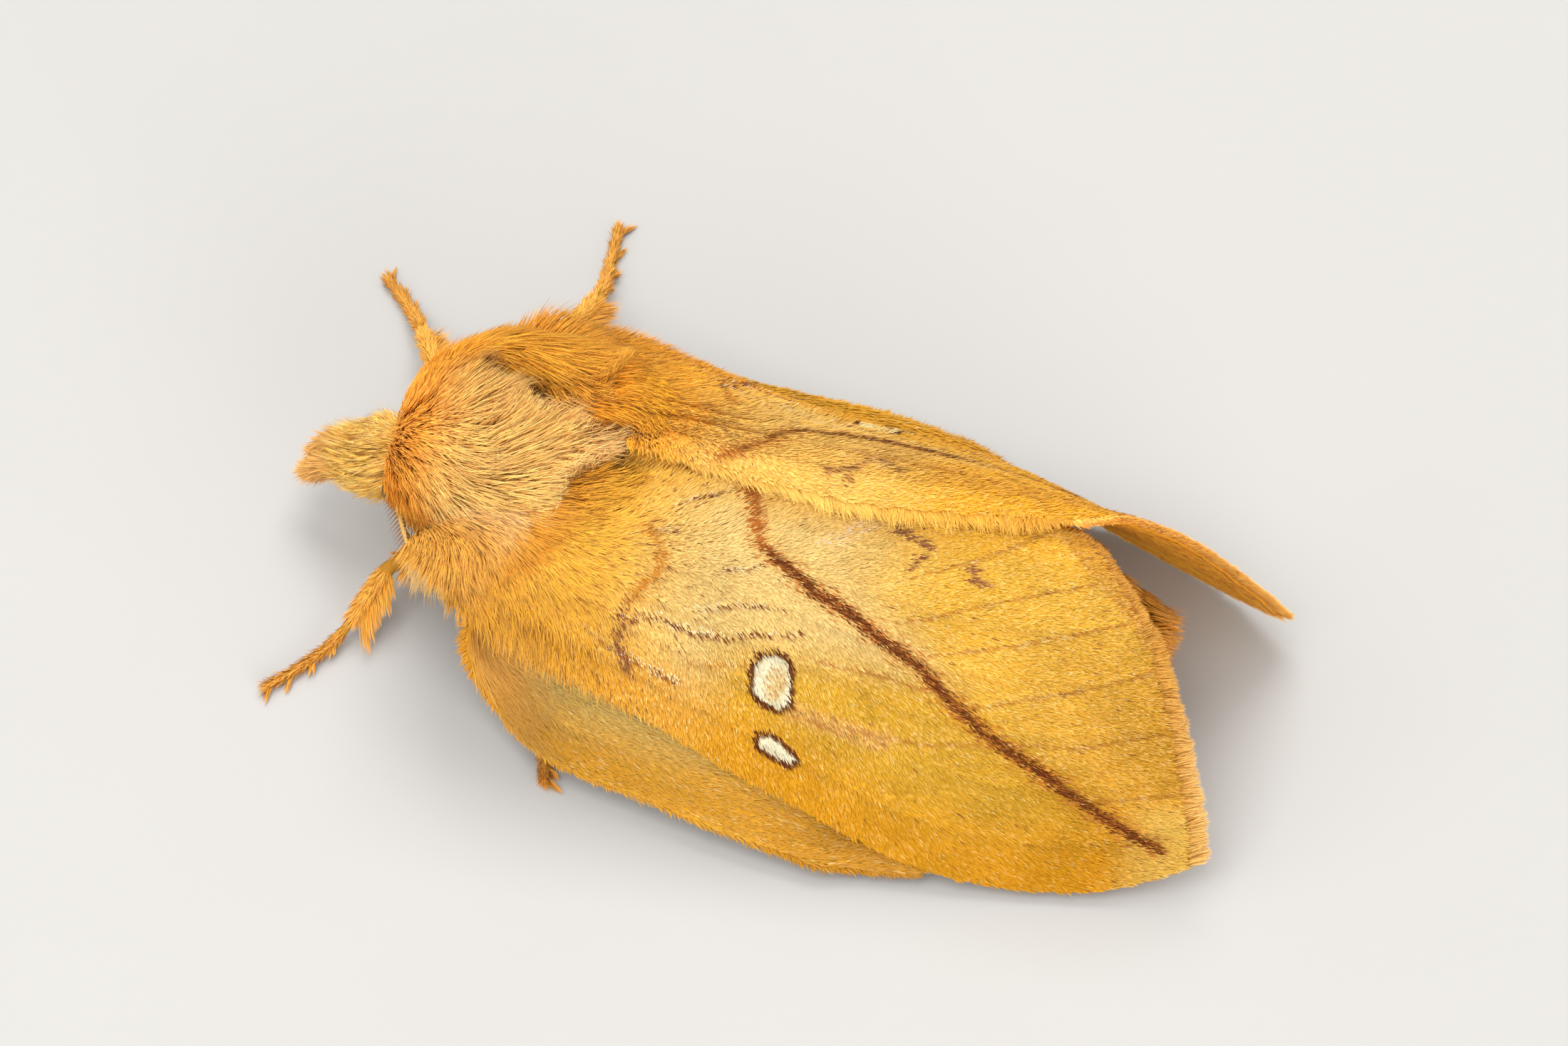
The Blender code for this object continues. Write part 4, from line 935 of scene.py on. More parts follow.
def buildHindwing(side, word):
    chance = np.random.default_rng(31 + side)
    patch = Patch(hindGrid(side), side)
    rows, columns = patch.grid.shape[:2]
    shade = hindShade(patch.grid, np.linspace(0, 1, columns)[None] * np.ones((rows, 1)))
    pieces = [closedSheet("hindwingMembrane" + word, patch, hindWing["thickness"], shade, shade * 0.9)]
    count = hindWing["scales"][side]
    u, v, root, normal, way = patch.scatter(count, chance, lambda v, p: 0.25 + ramp(v, 0.35, 0.65))
    dip = unit(np.cross(normal, way)) * -side
    aim = unit(way + dip * col(0.12 + 0.3 * ramp(root[:, 0], 3, -1)))
    aim = turnedAbout(aim, normal, lumps(root, 1.6, 7) * 0.7 + chance.normal(0, 0.16, count))
    length = 0.6 * chance.uniform(0.7, 1.25, count)
    colour = varied(hindShade(root, v), 0.12, chance)
    colour = swapped(colour, chance.random(count) < 0.06, mix(colour, tone["cream"], 0.5))
    pieces.append(scaleTufts(scaleFinish, "hindwingScales" + word, root, normal, aim, length,
                             0.11 * chance.uniform(0.8, 1.2, count), 0.08 + 0.1 * chance.random(count),
                             colour, placeOn(u, v)))
    # down and longer hair, longest at the front
    count = hindWing["hairs"][side]
    u, v, root, normal, way = patch.scatter(
        count, chance, lambda v, p: ramp(v, 0.5, 0.7) * (0.4 + 1.4 * ramp(p[..., 0], 4, -1)))
    dip = unit(np.cross(normal, way)) * -side
    front = ramp(root[:, 0], 4, -1)
    aim = unit(way + dip * col(0.15 + 0.5 * front))
    aim = turnedAbout(aim, normal, lumps(root, 1.2, 17) * 0.9 + chance.normal(0, 0.2, count))
    length = (0.75 + 0.8 * front) * chance.uniform(0.7, 1.3, count)
    tip = root + aim * col(length) + normal * col(0.14 + 0.3 * front * chance.random(count))
    colour = varied(hindShade(root, v), 0.16, chance)
    pieces.append(needleTufts(furFinish, "hindwingHair" + word, root - normal * 0.05, tip, normal, 0.045,
                              colour, placeOn(u, v), mix(colour, tone["cream"], 0.2)))
    # the outer edge
    count = hindWing["edgeHairs"]
    u = spreadOut(count, chance)
    v = 1 - 0.02 * chance.random(count)
    root, normal, way = patch.at(u, v)
    root = root - normal * col(hindWing["thickness"] * chance.random(count))
    dip = unit(np.cross(normal, way)) * -side
    dip = swapped(dip, dip[:, 2] > 0, -dip)
    aim = unit(way * col(0.5 + chance.random(count)) + dip + normal * col(chance.uniform(-0.3, 0.3, count)))
    length = 0.42 * chance.uniform(0.6, 1.3, count) * (1 + 0.9 * ramp(u, 0.25, 0))
    pieces.append(scaleTufts(fringeFinish, "hindwingFringe" + word, root, normal, aim, length, 0.055, 0,
                             varied(hindShade(root, v), 0.14, chance), placeOn(u, v)))
    # the underside
    count = hindWing["underScales"]
    u, v, root, normal, way = patch.scatter(count, chance, vRange=(0.3, 1))
    colour = varied(hindWing["hidden"], 0.15, chance, count)
    pieces.append(scaleTufts(scaleFinish, "hindwingUnder" + word, root - normal * hindWing["thickness"],
                             -normal, way, 0.8 * chance.uniform(0.8, 1.2, count), 0.22, 0.06, colour,
                             placeOn(u, v)))
    return pieces


# the body: cores and the outer surface of the coat, as x, half width, lowest and highest point

body = {
    "thorax": ((-6.3, 1, 5.6, 7.2), (-5.6, 2.2, 5.2, 8.8), (-4.9, 2.9, 4.8, 9.8), (-4.2, 3.4, 4.2, 10.3),
               (-3.2, 4.1, 3.4, 10.6), (-1.8, 4.5, 3, 10.6), (-0.3, 4.4, 2.9, 10.1), (1.2, 3.8, 3.1, 9.5),
               (2.4, 3, 3.7, 8.8), (3.2, 1.9, 4.8, 8)),
    "thoraxCoat": ((-7, 1.7, 5, 7.6), (-6.2, 2.9, 4.6, 9.6), (-5.2, 3.8, 4.2, 11), (-4.2, 4.6, 4, 11.6),
                   (-3, 5.2, 3.4, 12), (-1.5, 5.5, 3, 12.2), (0, 5.6, 3, 12.3), (2, 5.3, 4.4, 12.4),
                   (4, 4.4, 6, 12), (6.2, 3, 8, 12.2)),
    "head": ((-8.6, 0.7, 3.6, 4.8), (-8.2, 1.1, 3.2, 5.4), (-7.5, 1.25, 3, 6), (-6.7, 0.9, 3, 6.2),
             (-6, 0.7, 3.2, 6.1), (-5.5, 0.5, 3.9, 5.5)),
    "neck": ((-6.4, 0.8, 4.2, 6.4), (-5.2, 1.7, 3.6, 8.6), (-4, 2.6, 3.4, 9.6)),
    "nape": ((-6.5, 0.75, 4.2, 6.4), (-5.2, 1.65, 3.6, 8.5)),
    "napeCoat": ((-7.6, 0.9, 3.9, 6.6), (-6.5, 1.3, 3.8, 7.1), (-5.2, 2.2, 3.3, 9.1)),
    "waist": ((2.4, 2.6, 3.6, 8.2), (4.4, 2.2, 3.7, 7), (6, 2.8, 2.8, 7.6)),
    "abdomen": ((4, 1.9, 3.8, 6.8), (4.8, 2.6, 3, 7.6), (6.6, 3.3, 2.3, 8.3), (9.5, 3.5, 2.1, 8.5),
                (13, 3.5, 2.2, 8.6), (16.5, 3.4, 2.6, 8.7), (19.5, 3, 3.4, 8.8), (22, 2.4, 4.4, 8.9),
                (24, 1.8, 5.4, 8.6), (25, 1.2, 6.1, 8.1)),
}
hairCounts = {"thorax": 16500, "collar": 9000, "gap": 300, "under": 3000, "nape": 1500, "head": 5500,
              "palp": 4000, "abdomen": 2500, "tail": 2000, "tailEnd": 500, "feeler": 700}


def coatPoint(stations, x, turn, shrink=0):
    table = np.transpose(stations)
    half, low, high = (np.interp(x, table[0], row) for row in table[1:])
    turn = np.radians(turn)
    out = stack(0, np.cos(turn), np.sin(turn))
    spot = stack(x, half * np.cos(turn), (low + high) / 2 + (high - low) / 2 * np.sin(turn))
    return spot - out * shrink, out


def closedTube(grid):
    rows, columns = grid.shape[:2]
    points = np.concatenate([grid.reshape(-1, 3), grid[0].mean(0)[None], grid[-1].mean(0)[None]])
    around = np.arange(columns)
    after = np.roll(around, -1)
    base = (rows - 1) * columns
    first, last = (np.stack([start + around, start + after, np.full(columns, rows * columns + end)], -1)
                   for start, end in ((0, 0), (base, 1)))
    return points, np.concatenate([gridFaces(rows, columns, True, True), first, last[:, ::-1]])


def tube(stations, shrink):
    turns = np.arange(48) * 360 / 48
    return closedTube(np.stack([coatPoint(stations, np.full(48, x), turns, shrink)[0]
                                for x in np.linspace(stations[0][0], stations[-1][0], 60)]))


legPaths = {
    "fore_left": (((-3, -1, 2.1), (-4.3, -2.1, 2.2), (-5.4, -3.2, 2.5)),
                  ((-5.75, -3.7, 2.5), (-6.15, -4.6, 1.9), (-6.6, -5.55, 1.15)),
                  ((-6.85, -6.05, 0.8), (-7.35, -6.95, 0.45), (-8.2, -8.2, 0.3), (-9.1, -9.35, 0.27))),
    "fore_right": (((-3, 1, 2.1), (-4.8, 2.6, 2.6), (-6.2, 4, 3.4)),
                   ((-6.5, 4.6, 3.55), (-7.5, 6.3, 2.7), (-8.6, 8, 1.6)),
                   ((-8.95, 8.5, 1.25), (-9.7, 9.5, 0.6), (-10.6, 10.4, 0.3), (-11.5, 11.1, 0.27))),
    "mid_left": (((-1, -1.3, 2.1), (0.2, -3.4, 2.4), (1.2, -5.4, 3)),
                 ((1.5, -6.05, 2.95), (1.9, -6.9, 2.1), (2.3, -7.8, 1.2)),
                 ((2.48, -8.33, 0.82), (2.67, -8.8, 0.5), (2.9, -9.3, 0.3), (3.1, -9.9, 0.27))),
    "mid_right": (((-1.6, 1.3, 2.1), (-2.2, 4.4, 2.9), (-2.5, 7.4, 3.9)),
                  ((-2.5, 8, 3.95), (-2.4, 9.8, 3.1), (-2.35, 11.6, 2)),
                  ((-2.4, 12.15, 1.6), (-2.6, 13.4, 0.8), (-2.9, 15, 0.3), (-3.15, 16.6, 0.27))),
    "hind_left": (((1, -1.8, 1.7), (2.9, -3.6, 1.9), (4.8, -5.3, 2.3)),
                  ((5.35, -5.6, 2.35), (7.3, -6.2, 1.8), (9.2, -6.7, 1.1)),
                  ((9.75, -6.8, 0.85), (10.8, -7, 0.5), (12.4, -7.2, 0.3), (14.2, -7.3, 0.27))),
}
legPaths["hind_right"] = [np.array(path) * mirror for path in legPaths["hind_left"]]
legRadii = ((0.36, 0.42, 0.34), (0.34, 0.38, 0.3), (0.24, 0.22, 0.2, 0.17))
palpPath = ((-8.3, 0.55, 4.3), (-9.2, 0.6, 3.9), (-9.45, 0.62, 3.75), (-9.85, 0.58, 3.4), (-10.25, 0.5, 3))
palpRadii = (0.3, 0.32, 0.34, 0.26, 0.1)


def limbFrames(path, t):
    way = unit(curveAt(path, np.clip(t + 0.04, 0, 1)) - curveAt(path, np.clip(t - 0.04, 0, 1)))
    across = unit(np.cross(way, (0, 0, 1)))
    return curveAt(path, t), way, across, np.cross(across, way)


def aroundLimb(path, t, turn):
    spot, way, across, up = limbFrames(path, t)
    return spot, way, across * col(np.cos(turn)) + up * col(np.sin(turn))


def radiusAt(radii, t):
    return np.interp(t, np.linspace(0, 1, len(radii)), radii)


def limbTube(path, radii, columns=14, rows=30, flat=1):
    t = np.linspace(0, 1, rows)
    spot, _, across, up = limbFrames(path, t)
    radius = radiusAt(radii, t)[:, None]
    turn = np.arange(columns) * 2 * math.pi / columns
    grid = (spot[:, None] + across[:, None] * col(radius * np.cos(turn))
            + up[:, None] * col(radius * np.sin(turn)) * flat)
    grid[..., 2] = np.maximum(grid[..., 2], 0.08)  # above the floor
    return closedTube(grid)


# 'dark' is painted shade, for the partings, the furrow and the hollow at the wing roots
bodyTones = {"collar": (0.98, 0.38, 0.028), "centre": (1, 0.55, 0.14), "near": (1, 0.6, 0.17),
             "tan": (0.94, 0.58, 0.25), "far": (0.88, 0.4, 0.03), "dark": (0.12, 0.035, 0.008),
             "low": (0.6, 0.27, 0.032), "belly": (0.84, 0.58, 0.28), "pale": (1, 0.74, 0.36),
             "head": (1, 0.54, 0.11), "palp": (0.66, 0.32, 0.07), "abdomen": (0.7, 0.28, 0.025),
             "mound": (0.84, 0.38, 0.03), "leg": (0.8, 0.36, 0.038), "tarsus": (0.68, 0.29, 0.03)}
bodyTone = {key: np.array(value) for key, value in bodyTones.items()}
turnSize = 0.087  # a degree round the thorax, in millimetres
hairFlow = {  # how the hair lies, in degrees off straight back, at these turns round the thorax
    "turns": (0, 25, 50, 70, 80, 100, 120, 136, 155, 180, 215, 270, 320, 360),
    "front": (-25, -30, -35, -42, -50, -45, -15, 14, 36, 55, 60, 0, -50, -25),
    "middle": (-20, 0, 14, 22, -35, -50, -28, 5, 20, 42, 50, 0, -45, -20),
    "rear": (-15, 0, 12, 15, -18, -30, -8, 12, 26, 35, 40, 0, -35, -15),
    "furrow": 76,
    "partings": ((0, 79.5, 0.9, 4.6), (1, 82, 0.5, 3.6), (2.6, 84, 0.75, 5.4), (-2.85, 76.5, 0.35, 2.2)),
}


def thoraxFlow(x, turn):
    front, middle, rear = (np.interp(turn % 360, hairFlow["turns"], hairFlow[key])
                           for key in ("front", "middle", "rear"))
    return mix(mix(front, middle, ramp(x, -5.2, -3)), rear, ramp(x, -0.5, 1.7))


def furrowAt(x, turn):  # the parting between the far crest and the back's middle, painted dark as shade in thoraxShade
    middle = hairFlow["furrow"] + 1.5 * (x + 2.5) + 7 * lumps(stack(x, 0), 1.4, 31)
    return bell(turn - middle, 7) * ramp(x, -4.2, -2.7)


def partingAt(x, turn):  # below one inside a gap in the coat, painted dark as the shade in it
    gaps = [np.hypot((x - a) / long, (turn - b) / wide) for a, b, long, wide in hairFlow["partings"]]
    return np.min(gaps, axis=0)


def whorlCalm(x, turn):  # where the hair fans out beside the nape it lies smooth, so that no gap opens
    return 1 - 0.75 * bell(x + 4.9, 0.9) * bell(turn - 124, 16)


def thoraxShade(x, turn):
    turn = turn % 360
    lump = noise(stack(x, turn * turnSize), 0.9, 1)
    shade = layers(
        bodyTone["far"], (bodyTone["centre"], ramp(turn, 66, 90)), (bodyTone["near"], ramp(turn, 108, 130)),
        (bodyTone["tan"], ramp(turn, 138, 154) * ramp(x, -3.6, -1.8)),
        (bodyTone["low"], ramp(turn, 150, 164) * ramp(x, -2.4, -4)),
        (bodyTone["tan"], 0.6 * ramp(x, 0.6, 2.6) * ramp(turn, 70, 82)),
        (bodyTone["near"] * 0.85, 0.6 * ramp(x, 1.6, 3)),
        (bodyTone["collar"], 0.9 * ramp(x, -2.5, -5.1)),
        (bodyTone["belly"], ramp(np.abs(turn - 270), 55, 43)),
        # the partings and the furrow are painted dark: painted shade in the gaps of the coat
        (bodyTone["dark"], 0.9 * ramp(partingAt(x, turn), 1.5, 0.5)),
        (bodyTone["dark"], 0.92 * furrowAt(x, turn) * ramp(lump, 0.22, 0.42)))
    return shade * col(0.9 + 0.2 * lump)


def bodyShade(points):
    x, y, z = points.T
    turn = np.degrees(np.arctan2(z - 6.5, y)) % 360
    shade = swapped(bodyTone["head"] * 0.9, (x > -6) & (x < 3.6), thoraxShade(x, turn))
    shade = swapped(shade, x > 3.6, bodyTone["abdomen"])
    return swapped(shade, (z < 2.9 + 0.3 * np.abs(y)) | (np.abs(y) > 4.6), bodyTone["leg"] * 0.8)


def buildBodySkin():
    parts = [tube(body[key], shrink) for key, shrink in
             (("thorax", 0.12), ("head", 0.08), ("abdomen", 0.1), ("neck", 0.1), ("waist", 0.1))]
    for femur, tibia, tarsus in legPaths.values():
        parts += [limbTube(path, radii) for path, radii in zip((femur, tibia, tarsus), legRadii)]
        parts.append(limbTube((femur[-1], tibia[0]), (0.3, 0.3), rows=6))
        parts.append(limbTube((tibia[-1], tarsus[0]), (0.24, 0.22), rows=6))
    for side in (1, -1):
        parts.append(limbTube(np.array(palpPath) * (1, side, 1), palpRadii, flat=1.1))
    starts = np.cumsum([0] + [len(spots) for spots, _ in parts])
    skin = solidMesh("bodySkin", bodyFinish, np.concatenate([spots for spots, _ in parts]),
                     np.concatenate([triangles + start for (_, triangles), start in zip(parts, starts)]))
    remesh = skin.modifiers.new("remesh", "REMESH")
    remesh.mode = "VOXEL"
    remesh.voxel_size = 0.00016
    soften = skin.modifiers.new("soften", "SMOOTH")
    soften.factor = 0.5
    soften.iterations = 3
    mesh = bpy.data.meshes.new_from_object(skin.evaluated_get(bpy.context.evaluated_depsgraph_get()))
    skin.modifiers.clear()
    skin.data = mesh
    places = np.zeros(len(mesh.vertices) * 3, np.float32)
    mesh.vertices.foreach_get("co", places)
    paintPoints(mesh, bodyShade((places.reshape(-1, 3) - mothOrigin) * 1000))
    mesh.polygons.foreach_set("use_smooth", np.full(len(mesh.polygons), True))
    print("body skin:", len(mesh.polygons), "faces")
    return skin


def combedFur(finish, name, core, coat, x, turn, reach, angle, chance, shade, width, lock=0.7, pull=0.5,
              rough=1, dip=0, tipShade=None):
    # hairs from the core's surface up to the coat's, combed by the angle, their tips drawn together in locks
    count = len(x)
    cell = stack(x, turn * turnSize)
    middleOf, luck = lockCentres(cell, lock, 51)
    sway = lumps(middleOf, 1.7, 52) * 55 + (luck - 0.5) * 40 + lumps(cell, 0.5, 54) * 24
    lean = np.radians(angle + rough * sway + chance.normal(0, 6, count))
    along = reach * np.cos(lean)
    around = np.abs(reach) * np.sin(lean) / turnSize
    pulled = pull * chance.uniform(0.6, 1, count)
    tipX = mix(x, middleOf[:, 0], pulled) + along
    tipTurn = mix(turn, middleOf[:, 1] / turnSize, pulled) + around
    height = rough * (luck - 0.5 + lumps(cell, 0.9, 53)) * 0.5 - dip
    root, out = coatPoint(core, x, turn, 0.05)
    depth = chance.random(count) ** 0.7
    halfWay = x + along * 0.35, turn + around * 0.25
    middle = mix(coatPoint(core, *halfWay)[0], coatPoint(coat, *halfWay)[0], col(0.4 + 0.7 * depth))
    middle = middle + out * col(height * 0.6)
    tip, tipOut = coatPoint(coat, tipX, tipTurn)
    tip = mix(coatPoint(core, tipX, tipTurn)[0], tip, col(0.35 + 0.65 * depth)) + tipOut * col(height)
    return hairTufts(finish, name, root, middle, tip, unit(out + tipOut),
                     width * chance.uniform(0.75, 1.3, count), shade,
                     placeOn((x + 10) / 40, (turn % 360) / 360), tipShade=tipShade)


def buildThorax():
    chance = np.random.default_rng(71)
    core, coat = body["thorax"], body["thoraxCoat"]
    # the back: long silky hair, parted along the far side
    count = hairCounts["thorax"]
    x = -4.7 + 7.4 * chance.random(count)
    turn = 92 + chance.uniform(-78, 84, count)
    room = 4.9 - 2.9 * ramp(np.abs(turn - 91), 0, 30) - x  # the wing roots stay clear
    thin = (chance.random(count) < 0.9 * furrowAt(x, turn)) | (room < 0.3) | (partingAt(x, turn) < 1)
    x, turn, room = x[~thin], turn[~thin], room[~thin]
    count = len(x)
    grown = (1.1 + 1.5 * ramp(x, -4.9, -1.9)) * (1 - 0.6 * furrowAt(x, turn - 9))
    grown = grown * chance.uniform(0.65, 1.1, count)
    reach = np.minimum(grown, room * chance.uniform(0.7, 1.05, count))
    lean = np.radians(thoraxFlow(x, turn))
    for share in (0.3, 0.6, 0.85, 1.1):  # hair stops short of the dark partings
        over = partingAt(x + share * reach * np.cos(lean), turn + share * reach * np.sin(lean) / turnSize) < 1
        reach = np.where(over, reach * 0.35, reach)
    calm = (0.45 + 0.55 * ramp(turn, 40, 75)) * whorlCalm(x, turn)  # the far flank lies smooth
    shade = varied(thoraxShade(x + reach * 0.3, turn), 0.22, chance)
    shade = swapped(shade, chance.random(count) < 0.08, shade * (0.5, 0.36, 0.3))
    pale = 0.25 * chance.random(count) * ramp(turn, 76, 88) * ramp(turn, 150, 120)
    shade = shade * col(0.86 + 0.28 * noise(stack(x, turn * turnSize), 0.45, 57))
    # roots darker and tips lighter: partly the hair's own colour, partly painted shade in the gaps between
    # hairs
    back = combedFur(furFinish, "thoraxFur", core, coat, x, turn, reach, thoraxFlow(x, turn), chance,
                     shade * (0.92, 0.82, 0.68), 0.034, 0.42, 0.3, 0.65 * calm, 2 * furrowAt(x, turn + 3),
                     layers(shade * 1.12, (bodyTone["pale"], pale)))
    # the collar, short and deep orange, and the flanks
    count = hairCounts["collar"]
    x = -6.2 + 3 * chance.random(count)
    turn = 90 + chance.uniform(-125, 135, count)
    gap = hairCounts["gap"]
    x[:gap] = -5 + chance.normal(0, 0.4, gap)
    turn[:gap] = 124 + chance.normal(0, 8, gap)
    reach = (0.6 + 0.5 * ramp(x, -6, -4)) * chance.uniform(0.6, 1.2, count)
    shade = varied(thoraxShade(x + reach * 0.3, turn), 0.2, chance)
    collar = combedFur(furFinish, "collarFur", core, coat, x, turn, reach, thoraxFlow(x, turn), chance,
                       shade, 0.045, 0.45, 0.2, whorlCalm(x, turn))
    # underneath
    count = hairCounts["under"]
    x = -5 + 7.6 * chance.random(count)
    turn = 270 + chance.uniform(-84, 84, count)
    reach = 1.7 * chance.uniform(0.6, 1.1, count)
    shade = varied(bodyTone["belly"], 0.18, chance, count)
    low = [(a, b * 1.08, c - 0.7, d) for a, b, c, d in coat]
    side = combedFur(furFinish, "sideFur", core, low, x, turn, reach, thoraxFlow(x, turn), chance, shade, 0.05)
    return [back, collar, side]


# the shoulders: skin and hair that run from the thorax over each forewing's root

shoulder = {"over": 0.075, "raise": 0.12, "front": (-1.9, 0.2, -0.25), "frontOut": (0.6, 0.95, -0.7),
            "foot": (-3.8, 0.3, -0.45), "footOut": (1.8, 2, -2), "hairs": {-1: 7500, 1: 4500}, "length": 1.7,
            "tone": (0.84, 0.42, 0.062), "paleHairs": 900,
            "paleRoot": {-1: (-3.3, -4.5, 6.2), 1: (-3.3, 4.5, 5.6)}}


def shoulderGrid(side, wing):
    share = np.linspace(0, 1, wing.grid.shape[1])
    edge = wing.grid[0] + wing.normal[0] * shoulder["raise"]
    behind, _, _ = wing.at(np.full_like(share, shoulder["over"]), share)
    steps = []
    for near in ("foot", "front"):
        offset = np.array(shoulder[near]) + stack(share ** 3, share ** 2, share ** 3) * shoulder[near + "Out"]
        steps.append(edge + offset * (1, -side, 1))
    lines = np.stack([*steps, edge, behind + wing.normal[3] * 0.02], axis=1)
    return np.stack([curveAt(line, np.linspace(0, 1, 40)) for line in lines], axis=1)


# darkest along the hollow between the wing root and the thorax: painted shade
def shoulderShade(points, share):
    back = points[..., 0] + 0.6 - 2 * (1 - share)
    return layers(bodyTone["tan"] * 0.95, (shoulder["tone"], ramp(share, 0.45, 0.8)),
                  (bodyTone["mound"], ramp(back, 0, 0.8)), (tone["base"] * 1.05, ramp(back, 1.2, 3)),
                  (bodyTone["dark"], 0.9 * ramp(share, 0.1, 0.03)))


def buildShoulder(side, word, wing):
    chance = np.random.default_rng(61 + side)
    patch = Patch(shoulderGrid(side, wing), side)
    rows, columns = patch.grid.shape[:2]
    shade = shoulderShade(patch.grid, np.linspace(0, 1, columns)[None] * np.ones((rows, 1)))
    skin = closedSheet("shoulderSkin" + word, patch, 0.2, shade * 0.8, shade * 0.7)
    count = shoulder["hairs"][side]
    u, v, root, normal, way = patch.scatter(
        count, chance, lambda v, p: (0.5 + ramp(v, 0.2, 0.6)) * ramp(v, 0.02, 0.12), (0, 0.97))
    cell = root[:, :2]
    _, luck = lockCentres(cell, 0.6, 71)
    lean = -side * np.radians(np.interp(v, (0, 0.35, 0.6, 1), (35, 18, -10, -38)))
    sway = lumps(cell, 1.5, 72) * 0.55 + (luck - 0.5) * 0.4 + chance.normal(0, 0.1, count)
    way = turnedAbout(way, normal, lean + sway)
    length = shoulder["length"] * chance.uniform(0.6, 1.15, count) * (1 - 0.45 * ramp(u, 0.4, 0.9))
    lift = (0.16 + 0.34 * chance.random(count) + 0.2 * (luck - 0.5)) * (1 - 0.4 * ramp(u, 0.5, 1))
    middle = root + way * col(length * 0.4) + normal * col(lift)
    tip = root + way * col(length) + normal * col(lift * 0.8)
    shade = varied(shoulderShade(root + way * col(length * 0.5), v), 0.18, chance)
    # the far shoulder takes the far wing's painted-light tint
    shade = shade * (foreWing["farPaintedLift"] if side > 0 else 1)
    shade = swapped(shade, chance.random(count) < 0.1, shade * (0.45, 0.34, 0.3))
    # roots darker and tips lighter: partly the hair's own colour, partly painted shade in the gaps between
    # hairs
    hair = hairTufts(furFinish, "shoulderHair" + word, root - normal * 0.05, middle, tip, normal,
                     0.042 * chance.uniform(0.75, 1.3, count), shade * (0.88, 0.8, 0.7), placeOn(u, v),
                     tipShade=shade * 1.1)
    # a pale tuft hangs out below the front corner
    count = shoulder["paleHairs"]
    spot = chance.random((count, 3)) - 0.5
    root = np.array(shoulder["paleRoot"][side]) + spot * (1.5, 0.9, 1.8)
    aim = unit((0.35, side, -0.25) + chance.normal(0, 0.22, (count, 3)))
    length = 1.7 * chance.uniform(0.5, 1.1, count)
    middle = root + aim * col(length * 0.5) + (0, 0, 0.1)
    tip = root + aim * col(length) - (0, 0, 0.15)
    shade = varied(bodyTone["pale"] * (0.92, 0.8, 0.7), 0.16, chance, count)
    tuft = hairTufts(furFinish, "paleTuft" + word, root, middle, tip, (0, 0, 1), 0.045, shade,
                     placeOn(0.18 + spot[:, 0] * 0.05, 0.5 + 0.2 * side + spot[:, 2] * 0.1))
    return [skin, hair, tuft]


def buildHead():
    chance = np.random.default_rng(81)
    coat = [(-9.9, 0.9, 3.2, 5.2)] + [(a, b + 0.55, c - 0.4, d + 0.55) for a, b, c, d in body["head"]]
    count = hairCounts["head"]
    x = -8.7 + 3 * chance.random(count)
    turn = 360 * chance.random(count)
    reach = -(0.5 + chance.random(count)) * (0.6 + 0.4 * ramp(x, -5.9, -6.9))
    shade = varied(bodyTone["head"], 0.2, chance, count)
    shade = swapped(shade, chance.random(count) < 0.3, mix(shade, bodyTone["pale"], 0.35))
    head = combedFur(shortFinish, "headFur", body["head"], coat, x, turn, reach, 0, chance,
                     shade * (1, 0.96, 0.86), 0.042, 0.4, 0.3, 1.3, tipShade=shade * 1.1)
    # the nape, between head and collar
    count = hairCounts["nape"]
    x = -6.5 + 1.1 * chance.random(count)
    turn = 360 * chance.random(count)
    reach = -0.8 * chance.uniform(0.6, 1.2, count)
    shade = varied(layers(bodyTone["head"], (bodyTone["collar"], ramp(x, -6.5, -5.7))), 0.2, chance)
    return [head,
            combedFur(shortFinish, "napeFur", body["nape"], body["napeCoat"], x, turn, reach, 0, chance,
                      shade, 0.045,
                            0.4, 0.3, 0.8)]


def buildPalps():
    pieces = []
    for side, word in bothSides:
        chance = np.random.default_rng(91 + side)
        count = hairCounts["palp"]
        t = chance.random(count) ** 0.85
        turn = 2 * math.pi * chance.random(count)
        spot, way, out = aroundLimb(np.array(palpPath) * (1, side, 1), t, turn)
        root = spot + out * col(0.9 * radiusAt(palpRadii, t))
        length = chance.uniform(0.35, 1.15, count) * (1.15 - 0.3 * t)
        fan = chance.normal(0, 0.14, (count, 3))
        tip = root + (way + fan) * col(length) + out * col(0.03 + 0.3 * chance.random(count)) - (0, 0, 0.06)
        shade = varied(bodyTone["palp"], 0.2, chance, count)
        pieces.append(needleTufts(shortFinish, "palpFur" + word, root, tip, out, 0.05, shade,
                                  placeOn(t, turn / 6.3), mix(shade, bodyTone["pale"], 0.12)))
    return pieces


